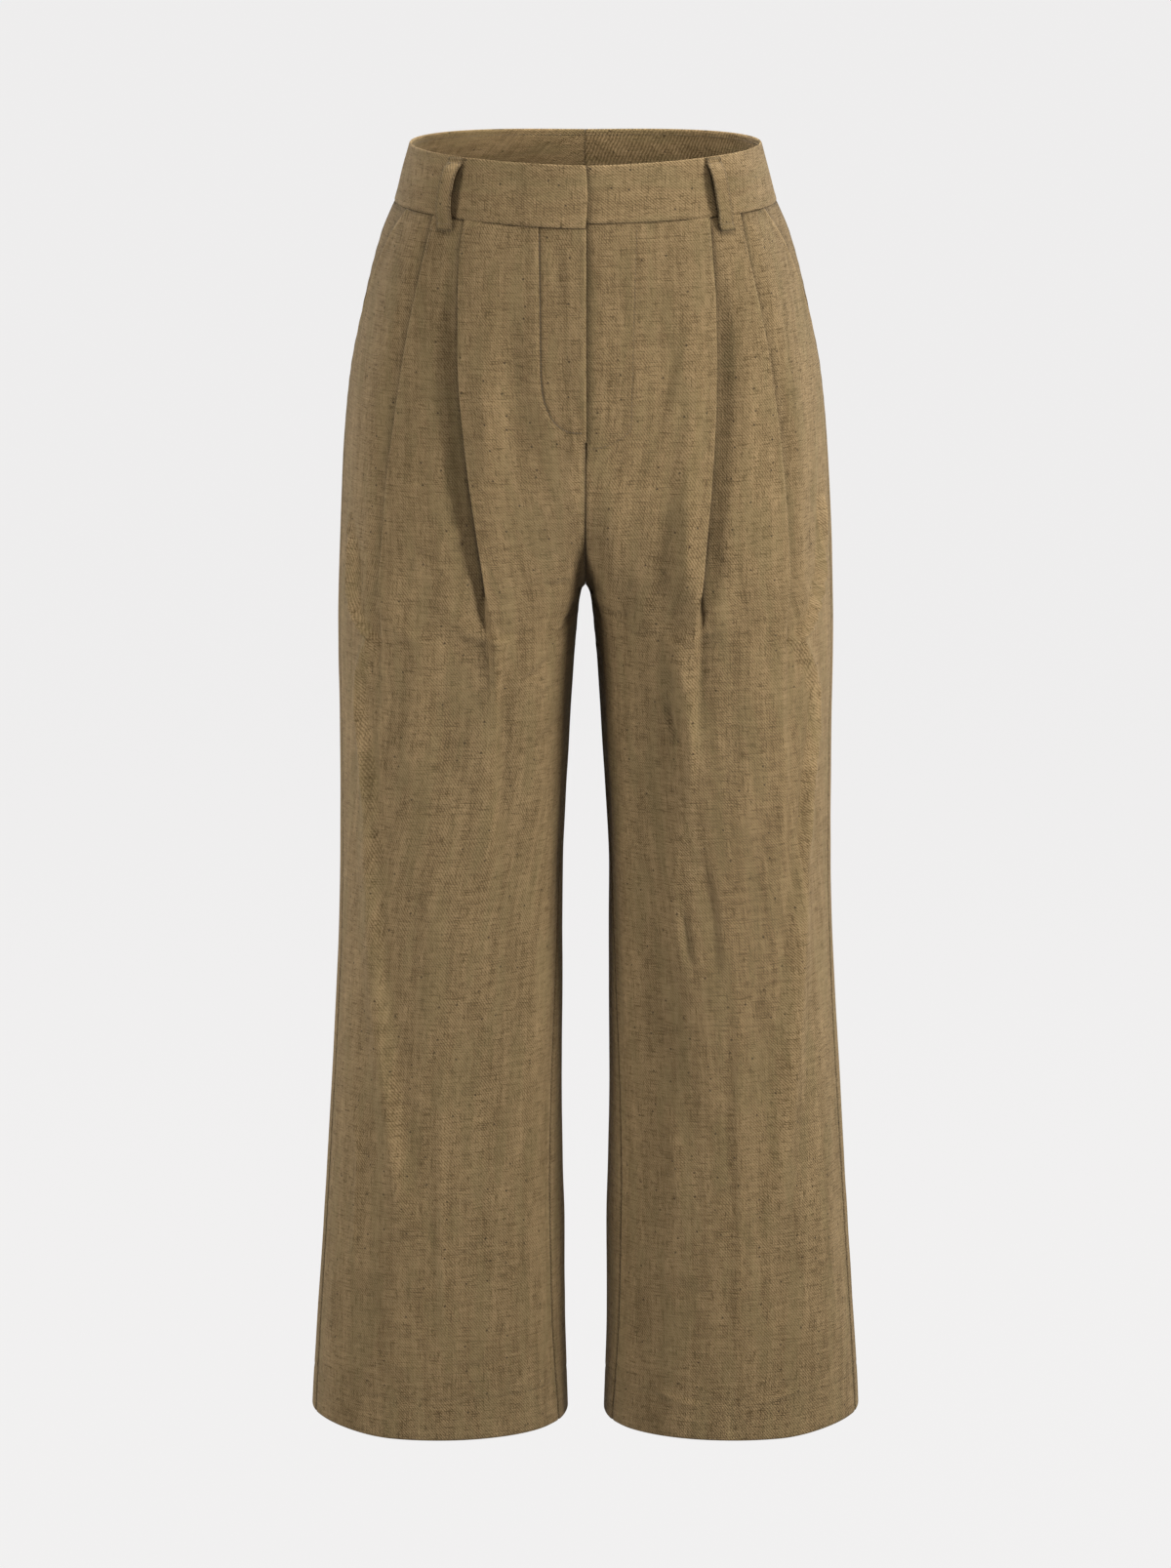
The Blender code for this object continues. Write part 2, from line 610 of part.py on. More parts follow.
def back(side):
    rows, profiles, walls = [], [], []
    for z in ROW_Z:
        height = seam_height(side, -SEAM_GAP / 2) if z is None else row_height(z)
        z_side = float(height(0.5))
        row = Row(height, 0.44, 1.0)
        row.length -= row.length_at(0.5)
        below = float(height(1.0)) < CROTCH_Z + 0.1 * MM
        end = row.length_at(1.0) - (SEAM_GAP / 2 if below else 0.0)
        q = np.linspace(0.0, 1.0, BACK_COLUMNS)
        s = SEAM_GAP / 2 + (end - SEAM_GAP / 2) * (1 - (1 - q) ** 1.4)
        rows.append(row)
        profiles.append((s, fold_relief(side, "back", row, s)))
        walls.append(2 * WALL if z_side < HEM_Z + HEM_DEPTH else WALL)
    outside, inside = wall_rows(rows, profiles, walls)
    return closed_wall("back_" + side, keep_clear(outside), keep_clear(inside))


def waistband(side):
    rows, profiles = [], []
    for t in (0.0, 0.5, 1.0):
        def height(share, t=t):
            low = ring_height(SEAM_Z[side], share) + SEAM_GAP / 2
            return low + (ring_height(TOP_Z, share) - low) * t
        row = Row(height, -0.16, 1.0)
        end = row.length_at(1.0)
        if side == "right":
            lap = np.linspace(0.0, BAND_UNDERLAP + 2 * MM, 5)
            s = np.concatenate([lap, np.linspace(lap[-1] + 16 * MM, end, BAND_COLUMNS - 5)])
            n = BAND_PROUD + BAND_LAP_RAISE * (1 - smooth((s - lap[-1]) / (15 * MM)))
        else:
            lap = np.concatenate([np.linspace(-BAND_UNDERLAP, 0.0, 5), [7 * MM]])
            s = np.concatenate([lap, np.linspace(15 * MM, end, BAND_COLUMNS - 5)])
            n = BAND_PROUD - BAND_UNDERLAP_DROP * (1 - smooth((s - 1 * MM) / (13 * MM)))
        rows.append(row)
        profiles.append((s, n))
    outside, inside = wall_rows(rows, profiles, [BAND_WALL] * 3)
    if side == "right":
        outside, inside = keep_clear(outside), keep_clear(inside)
    else:
        for grid in (outside, inside):
            grid[:, -1, 0] = np.maximum(grid[:, -1, 0], SEAM_GAP / 2)
    # rows run upwards here, so they are turned round for faces that point out
    return closed_wall("waistband_" + side, outside[::-1], inside[::-1])


def fly_shield():
    rows, profiles = [], []
    top = SEAM_Z["left"]["front"] - SEAM_GAP
    for z in (None, -0.070, -0.125, -0.165, SHIELD_END_Z):
        def height(share, z=z):
            return (ring_height(SEAM_Z["left"], share) - SEAM_GAP if z is None
                    else np.full_like(share, z))
        row = Row(height, -0.16, 0.3)
        reach = 1.0 if z is None or z > -0.13 else (0.92 if z > -0.17 else 0.55)
        s = np.linspace(-SHIELD_REACH["right"] * reach, SHIELD_REACH["left"] * reach, 7)
        rows.append(row)
        profiles.append((s, np.full_like(s, -SHIELD_DROP)))
    outside, inside = wall_rows(rows, profiles, [WALL] * len(rows))
    return closed_wall("fly_shield", outside, inside)


def pocket_facing(side):
    rows, profiles = [], []
    for z in (None, -0.045, -0.075, -0.105, POCKET_END_Z, FACING_END_Z):
        height = seam_height(side, -SEAM_GAP / 2) if z is None else row_height(z)
        z_side = float(height(0.5))
        row = Row(height, -0.08, 0.56)
        seam = row.length_at(0.5)
        inset = POCKET_TOP_INSET * max(0.0, (z_side - POCKET_END_Z)
                                       / (SEAM_Z[side]["side"] - POCKET_END_Z))
        edge = seam - max(inset, 5 * MM)
        under = edge - FACING_UNDER
        last = seam - (SEAM_GAP / 2 if inset > 5 * MM else 1.2 * MM)
        visible = float(smooth((inset - 6 * MM) / (10 * MM)))
        s = np.concatenate([[under, 0.5 * (under + edge)], np.linspace(edge, last, 4)])
        rise = smooth((s - edge - 2 * MM) / max(inset - 3 * MM, 1 * MM)) * visible
        rows.append(row)
        profiles.append((s, -FACING_DROP * (1 - rise)))
    outside, inside = wall_rows(rows, profiles, [WALL] * len(rows))
    return closed_wall("pocket_facing_" + side, outside, inside)


def belt_loop(record):
    node, side, u_top, u_bottom, half = record
    stations = []
    path = LOOP_PATH_ROWS if half == "front" else BACK_LOOP_PATH_ROWS
    z_low, z_high = path[0][0], path[-1][0]
    for z, off in path:
        u = u_bottom + (u_top - u_bottom) * (z - z_low) / (z_high - z_low)
        row = Row(lambda share, z=z: np.full_like(share, z), 0.0, 1.0)
        if half == "front":
            pick = row.share <= 0.5
            s = float(np.interp(u, row.point[pick, 0], row.length[pick]))
        else:
            pick = row.share >= 0.5
            s = float(np.interp(u, row.point[pick, 0][::-1], row.length[pick][::-1]))
        centre = row.at(np.array([s]), np.array([off]))[0]
        ahead, behind = row.at(np.array([s + 2 * MM, s - 2 * MM]), np.zeros(2))
        if u == 0.0:
            centre[0], across = 0.0, np.array([-1.0, 0.0, 0.0])
        else:
            across = (ahead - behind) / np.linalg.norm(ahead - behind)
        stations.append((centre, across))
    outside, inside = [], []
    for k, (centre, across) in enumerate(stations):
        before = stations[max(k - 1, 0)][0]
        after = stations[min(k + 1, len(stations) - 1)][0]
        up = (after - before) / np.linalg.norm(after - before)
        out = np.cross(across, up)
        out /= np.linalg.norm(out)
        for sign, grid in ((0.5, outside), (-0.5, inside)):
            grid.append([centre + out * LOOP_WALL * sign - across * LOOP_WIDTH / 2,
                         centre + out * LOOP_WALL * sign + across * LOOP_WIDTH / 2])
    return closed_wall(node, np.array(outside)[::-1], np.array(inside)[::-1])


def main():
    for obj in list(bpy.data.objects):
        bpy.data.objects.remove(obj, do_unlink=True)
    for side in ("left", "right"):
        mirror = side == "right"
        for piece in (front, back, waistband, pocket_facing):
            add_object(*piece(side), mirror)
    add_object(*fly_shield(), False)
    for record in LOOP_ROWS:
        add_object(*belt_loop(record), record[1] == "right")


main()
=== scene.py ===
"""Pleated wide-leg trousers in a slubbed linen-blend twill, worn shape, nobody in them."""
import math

import bpy
import numpy as np
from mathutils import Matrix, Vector


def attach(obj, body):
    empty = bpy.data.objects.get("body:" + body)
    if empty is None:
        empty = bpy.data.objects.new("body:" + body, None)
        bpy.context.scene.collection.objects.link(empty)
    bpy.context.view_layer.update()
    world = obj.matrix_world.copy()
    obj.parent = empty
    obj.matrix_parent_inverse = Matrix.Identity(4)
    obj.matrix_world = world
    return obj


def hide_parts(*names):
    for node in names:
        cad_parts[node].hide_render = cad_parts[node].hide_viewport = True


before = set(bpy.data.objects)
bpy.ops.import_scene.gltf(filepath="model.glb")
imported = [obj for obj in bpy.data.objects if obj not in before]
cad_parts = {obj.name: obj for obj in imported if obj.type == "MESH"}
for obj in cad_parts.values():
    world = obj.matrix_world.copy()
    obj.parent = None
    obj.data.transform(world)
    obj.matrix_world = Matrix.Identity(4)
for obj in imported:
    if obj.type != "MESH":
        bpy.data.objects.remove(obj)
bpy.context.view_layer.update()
MM = 0.001

# ================================================================== camera
AIM = (0.0, 0.0, -0.467)
DISTANCE = 5.5
ELEVATION = math.radians(13.0)
cam_data = bpy.data.cameras.new("camera")
cam_data.lens = 165.4
cam_data.sensor_width = 36.0
cam_data.sensor_fit = "AUTO"
cam_data.clip_end = 200.0
camera = bpy.data.objects.new("camera", cam_data)
bpy.context.scene.collection.objects.link(camera)
camera.location = (AIM[0], AIM[1] - DISTANCE * math.cos(ELEVATION),
                   AIM[2] + DISTANCE * math.sin(ELEVATION))
camera.rotation_euler = (math.radians(90.0) - ELEVATION, 0.0, 0.0)
bpy.context.scene.camera = camera

# ================================================================== the form
CLOTH = 0.55 * MM            # one layer
SEAM_GAP = 0.3 * MM
HEM_DEPTH = 33 * MM
HEM_Z = -0.966
CROTCH_Z = -0.308
FRONT_CURVE_Z = -0.175
BACK_CURVE_Z = -0.155
LEG_BLEND = (-0.160, -0.375)
FORK_REACH = 0.24
FORK_EASE = 0.20
BAND_LAP = 38 * MM
TOP_Z = {"front": 0.0220, "side": 0.0262, "back": 0.0224}
SEAM_Z = {"left": {"front": -0.0195, "side": -0.0172, "back": -0.0190},
          "right": {"front": -0.0233, "side": -0.0172, "back": -0.0190}}
FLY_END_Z = -0.176
POCKET_TOP_INSET = 40 * MM
POCKET_END_Z = -0.124
FACING_END_Z = -0.136

SECTION_COLUMNS = ("z", "half_width", "front", "back", "fullness")
SECTION_ROWS = (
    (0.030, 0.1300, 0.0955, 0.0955, 0.03),
    (0.004, 0.1371, 0.1015, 0.1010, 0.04),
    (-0.018, 0.1430, 0.1070, 0.1075, 0.05),
    (-0.036, 0.1508, 0.1105, 0.1135, 0.06),
    (-0.058, 0.1577, 0.1135, 0.1215, 0.07),
    (-0.103, 0.1684, 0.1180, 0.1365, 0.09),
    (-0.147, 0.1771, 0.1210, 0.1470, 0.11),
    (-0.203, 0.1824, 0.1225, 0.1510, 0.12),
    (-0.282, 0.1862, 0.1215, 0.1450, 0.12),
    (-0.350, 0.1878, 0.1170, 0.1370, 0.11),
    (-0.441, 0.1873, 0.1075, 0.1245, 0.09),
    (-0.533, 0.1879, 0.0980, 0.1130, 0.07),
    (-0.626, 0.1914, 0.0900, 0.1035, 0.05),
    (-0.719, 0.1970, 0.0850, 0.0970, 0.04),
    (-0.813, 0.2032, 0.0825, 0.0925, 0.03),
    (-0.908, 0.2094, 0.0815, 0.0895, 0.03),
    (-0.970, 0.2129, 0.0815, 0.0885, 0.03),
)
GAP_COLUMNS = ("z", "half_gap")
GAP_ROWS = (
    (-0.3080, 0.0000), (-0.3165, 0.0030), (-0.3500, 0.0066), (-0.3960, 0.0103),
    (-0.4410, 0.0130), (-0.4870, 0.0158), (-0.5330, 0.0177), (-0.6260, 0.0182),
    (-0.6950, 0.0185), (-0.7660, 0.0174), (-0.8130, 0.0162), (-0.8840, 0.0160),
    (-0.9310, 0.0148), (-0.9700, 0.0136),
)
SEAM_COLUMNS = ("z", "side_deg", "inseam_deg")
SEAM_ROWS = (
    (0.030, 2.0, 7.0), (-0.124, 3.0, 7.0), (-0.250, 9.0, 7.0), (-0.308, 12.0, 7.0),
    (-0.420, 16.0, 9.0), (-0.500, 16.0, 12.0), (-0.620, 15.5, 20.0), (-0.700, 15.5, 24.5),
    (-0.800, 15.5, 28.0), (-0.880, 15.0, 26.0), (-0.970, 15.5, 21.0),
)
PLEAT_COLUMNS = ("z", "right_inner", "right_outer", "left_inner", "left_outer")
PLEAT_ROWS = (
    (-0.018, 0.0890, 0.1125, 0.0912, 0.1145),
    (-0.049, 0.0930, 0.1195, 0.0935, 0.1205),
    (-0.080, 0.0937, 0.1262, 0.0957, 0.1272),
    (-0.115, 0.0938, 0.1330, 0.0962, 0.1340),
    (-0.147, 0.0925, 0.1380, 0.0960, 0.1388),
    (-0.180, 0.0893, 0.1425, 0.0950, 0.1432),
    (-0.210, 0.0860, 0.1465, 0.0930, 0.1462),
    (-0.250, 0.0805, 0.1497, 0.0898, 0.1492),
    (-0.300, 0.0742, 0.1528, 0.0860, 0.1515),
    (-0.400, 0.0710, 0.1545, 0.0835, 0.1505),
    (-0.970, 0.0700, 0.1545, 0.0830, 0.1500),
)
# each pleat going down: how far it is folded under, how far its edge stands up,
# how far the cloth beside it sinks, and how wide that trough is (mm)
DEPTH_COLUMNS = ("z", "overlap", "rise", "sink", "trough")
PLEAT_DEPTH = {
    "right_inner": (
        (-0.018, 15.0, 0.5, 0.5, 5.0), (-0.048, 14.0, 0.8, 1.0, 7.0),
        (-0.080, 12.0, 2.0, 3.4, 12.0), (-0.120, 10.0, 3.2, 6.2, 16.0),
        (-0.180, 8.0, 3.6, 7.4, 19.0), (-0.235, 5.0, 3.4, 6.4, 20.0),
        (-0.270, 3.0, 3.0, 5.0, 18.0), (-0.315, 0.0, 2.5, 3.9, 18.0),
        (-0.370, 0.0, 1.5, 2.5, 20.0), (-0.430, 0.0, 0.7, 1.2, 24.0),
        (-0.500, 0.0, 0.0, 0.0, 24.0)),
    "right_outer": (
        (-0.018, 14.0, 0.5, 0.5, 5.0), (-0.048, 13.0, 0.8, 1.0, 6.0),
        (-0.090, 11.0, 1.6, 2.6, 10.0), (-0.150, 9.0, 2.0, 3.2, 12.0),
        (-0.220, 6.0, 2.0, 3.2, 13.0), (-0.270, 3.5, 1.9, 2.8, 13.0),
        (-0.310, 0.5, 1.7, 2.4, 13.0), (-0.370, 0.0, 1.1, 1.5, 14.0),
        (-0.430, 0.0, 0.5, 0.7, 14.0), (-0.500, 0.0, 0.0, 0.0, 14.0)),
    "left_inner": (
        (-0.018, 15.0, 0.5, 0.5, 5.0), (-0.048, 14.0, 0.8, 1.0, 7.0),
        (-0.080, 12.0, 1.8, 2.8, 10.0), (-0.120, 10.0, 2.8, 4.4, 12.0),
        (-0.180, 8.0, 3.2, 5.2, 13.0), (-0.240, 6.0, 3.4, 5.4, 13.0),
        (-0.290, 3.0, 3.3, 5.2, 14.0), (-0.325, 0.5, 2.4, 3.8, 15.0),
        (-0.370, 0.0, 1.4, 2.4, 16.0), (-0.430, 0.0, 0.6, 1.0, 18.0),
        (-0.500, 0.0, 0.0, 0.0, 20.0)),
    "left_outer": (
        (-0.018, 14.0, 0.5, 0.5, 5.0), (-0.048, 13.0, 0.9, 1.2, 6.0),
        (-0.090, 11.0, 1.7, 2.6, 9.0), (-0.150, 9.0, 2.0, 3.2, 12.0),
        (-0.220, 7.0, 2.2, 3.4, 13.0), (-0.280, 4.0, 2.2, 3.2, 13.0),
        (-0.325, 0.5, 1.9, 2.6, 14.0), (-0.375, 0.0, 1.0, 1.4, 15.0),
        (-0.430, 0.0, 0.3, 0.4, 16.0), (-0.470, 0.0, 0.0, 0.0, 16.0)),
}
UNFOLD_Z = (-0.283, -0.330)  # the three layers open out between these heights


def named(rows, names, name):
    return np.array([row[names.index(name)] for row in rows], dtype=float)


def through(xs, ys, x):
    """Monotone cubic through the points, held level past both ends."""
    xs, ys = np.asarray(xs, float), np.asarray(ys, float)
    if xs[0] > xs[-1]:
        xs, ys = xs[::-1], ys[::-1]
    step = np.diff(xs)
    rise = np.diff(ys) / step
    slope = np.zeros_like(xs)
    slope[0], slope[-1] = rise[0], rise[-1]
    for i in range(1, len(xs) - 1):
        if rise[i - 1] * rise[i] > 0:
            a, b = 2 * step[i] + step[i - 1], step[i] + 2 * step[i - 1]
            slope[i] = (a + b) / (a / rise[i - 1] + b / rise[i])
    x = np.clip(np.asarray(x, float), xs[0], xs[-1])
    i = np.clip(np.searchsorted(xs, x) - 1, 0, len(xs) - 2)
    h = step[i]
    t = (x - xs[i]) / h
    return ((2 * t**3 - 3 * t**2 + 1) * ys[i] + (t**3 - 2 * t**2 + t) * h * slope[i]
            + (-2 * t**3 + 3 * t**2) * ys[i + 1] + (t**3 - t**2) * h * slope[i + 1])


def section(name, z):
    return through(named(SECTION_ROWS, SECTION_COLUMNS, "z"),
                   named(SECTION_ROWS, SECTION_COLUMNS, name), z)


def smooth(t):
    t = np.clip(t, 0.0, 1.0)
    return t * t * (3 - 2 * t)


def ring_height(levels, share):
    angle = np.asarray(share, float) * math.pi
    c = np.cos(angle)
    return np.where(c >= 0, levels["side"] + (levels["front"] - levels["side"]) * c * c,
                    levels["side"] + (levels["back"] - levels["side"]) * c * c)


def sweep(q):
    return 0.44 * q + 0.56 * q * q


def blended(share, z):
    width = section("half_width", z)
    front, back = section("front", z), section("back", z)
    full = section("fullness", z)
    middle = 0.5 * (back - front)
    depth = 0.5 * (back + front)
    seam_z = named(SEAM_ROWS, SEAM_COLUMNS, "z")
    side = np.radians(through(seam_z, named(SEAM_ROWS, SEAM_COLUMNS, "side_deg"), z))
    inseam = np.radians(through(seam_z, named(SEAM_ROWS, SEAM_COLUMNS, "inseam_deg"), z))
    gap = through(named(GAP_ROWS, GAP_COLUMNS, "z"), named(GAP_ROWS, GAP_COLUMNS, "half_gap"), z)
    turn = np.where(share < 0.5,
                    np.sign(share) * sweep(2 * np.abs(share)) * (math.pi / 2 - side),
                    (math.pi / 2 - side) + (1 - sweep(2 - 2 * share)) * (math.pi / 2 + side))
    c, s = np.cos(turn), np.sin(turn)
    body_x = width * s * (1 + full * c * c)
    body_y = middle - depth * c * (1 + full * s * s)
    half = 0.5 * (width - gap)
    turn = np.where(share < 0.5, inseam + 2 * share * (math.pi - side - inseam),
                    (math.pi - side) + (2 * share - 1) * (math.pi + side + inseam))
    c, s = np.cos(turn), np.sin(turn)
    leg_x = gap + half - half * c * (1 + full * s * s)
    leg_y = middle - depth * s * (1 + full * c * c)
    soft = smooth((LEG_BLEND[0] - z) / (LEG_BLEND[0] - LEG_BLEND[1]))
    turn_z = np.where(share < 0.5, FRONT_CURVE_Z, BACK_CURVE_Z)
    t = np.maximum((turn_z - z) / (turn_z - CROTCH_Z), 0.0)
    apart = np.minimum(np.abs(share), np.abs(1 - share))
    ease = FORK_EASE * smooth(apart / 0.08) * smooth(1.4 * t)
    rest = 1 - t ** 2.2
    fork = 1 - np.sqrt(0.5 * (rest + np.sqrt(rest ** 2 + 4 * ease ** 2)))
    near = 1 - smooth(apart / FORK_REACH)
    w = soft + (fork - soft) * near
    return (body_x + (leg_x - body_x) * w, body_y + (leg_y - body_y) * w, middle)


TRUE_Z = np.linspace(-0.140, -0.420, 57)
TRUE_SHARE = np.linspace(0.0, 1.0, 161)


def extents():
    x, y, middle = blended(*np.meshgrid(TRUE_SHARE, TRUE_Z))
    middle = middle[:, 0]
    wide = section("half_width", TRUE_Z) / x.max(axis=1)
    fore = (section("front", TRUE_Z) + middle) / (middle - y.min(axis=1))
    aft = (section("back", TRUE_Z) - middle) / (y.max(axis=1) - middle)
    return wide, fore, aft


TRUE_WIDE, TRUE_FORE, TRUE_AFT = extents()


def outer(share, z):
    """Outer cloth surface of the +X half; share 0 front, 0.5 side seam, 1 back."""
    share, z = np.broadcast_arrays(np.asarray(share, float), np.asarray(z, float))
    x, y, middle = blended(share, z)
    gap = through(named(GAP_ROWS, GAP_COLUMNS, "z"), named(GAP_ROWS, GAP_COLUMNS, "half_gap"), z)
    width = section("half_width", z)
    wide = through(TRUE_Z, TRUE_WIDE, z)
    x = x + (wide - 1) * width * (x - gap) / (width - gap)
    y = middle + (y - middle) * np.where(y < middle, through(TRUE_Z, TRUE_FORE, z),
                                         through(TRUE_Z, TRUE_AFT, z))
    return np.stack([x + SEAM_GAP / 2, y, z], axis=-1)


def outer_normal(share, z):
    e, h = 0.002, 0.0015
    along = outer(share + e, z) - outer(share - e, z)
    up = outer(share, z + h) - outer(share, z - h)
    n = np.cross(along, up)
    return n / np.maximum(np.linalg.norm(n, axis=-1, keepdims=True), 1e-12)


class Row:
    """One line round the half at about one height, measured by its length."""

    def __init__(self, z_of_share, start=0.0, end=1.0, count=300):
        self.share = np.linspace(start, end, count)
        self.z = z_of_share(self.share)
        self.point = outer(self.share, self.z)
        self.normal = outer_normal(self.share, self.z)
        self.length = np.concatenate([[0.0], np.cumsum(
            np.linalg.norm(np.diff(self.point, axis=0), axis=1))])
        self.length -= np.interp(0.0, self.share, self.length)

    def at(self, s, off):
        s = np.asarray(s, float)
        p = np.stack([np.interp(s, self.length, self.point[:, k]) for k in range(3)], -1)
        n = np.stack([np.interp(s, self.length, self.normal[:, k]) for k in range(3)], -1)
        n /= np.linalg.norm(n, axis=-1, keepdims=True)
        return p + n * np.asarray(off, float)[..., None]

    def where_u(self, u_of_z):
        pick = (self.share >= 0.0) & (self.share <= 0.5)
        gap = self.point[pick, 0] - u_of_z(self.z[pick])
        return float(np.interp(0.0, gap, self.length[pick]))

    def length_at(self, share):
        return float(np.interp(share, self.share, self.length))


CROTCH_ROW_Z = -0.335
FAN_TOP_Z = -0.205
FAN_END_Z = -0.600


def row_height(z_side):
    if z_side >= FAN_TOP_Z:
        inner = z_side
    elif z_side >= CROTCH_ROW_Z:
        t = (FAN_TOP_Z - z_side) / (FAN_TOP_Z - CROTCH_ROW_Z)
        inner = CROTCH_Z + (FAN_TOP_Z - CROTCH_Z) * (1 - t) ** 1.5
    else:
        lift = CROTCH_Z - CROTCH_ROW_Z
        inner = z_side + lift * (1 - float(smooth((CROTCH_ROW_Z - z_side)
                                                  / (CROTCH_ROW_Z - FAN_END_Z))))
    return lambda share: z_side + (inner - z_side) * (
        1 - smooth(np.minimum(np.abs(share), 1 - share) / 0.25))


def below_seam(side, drop):
    """A height that follows the waist seam and levels out at z -0.045."""
    def height(share):
        top = ring_height(SEAM_Z[side], share)
        return top + (-0.045 - top) * drop
    return height


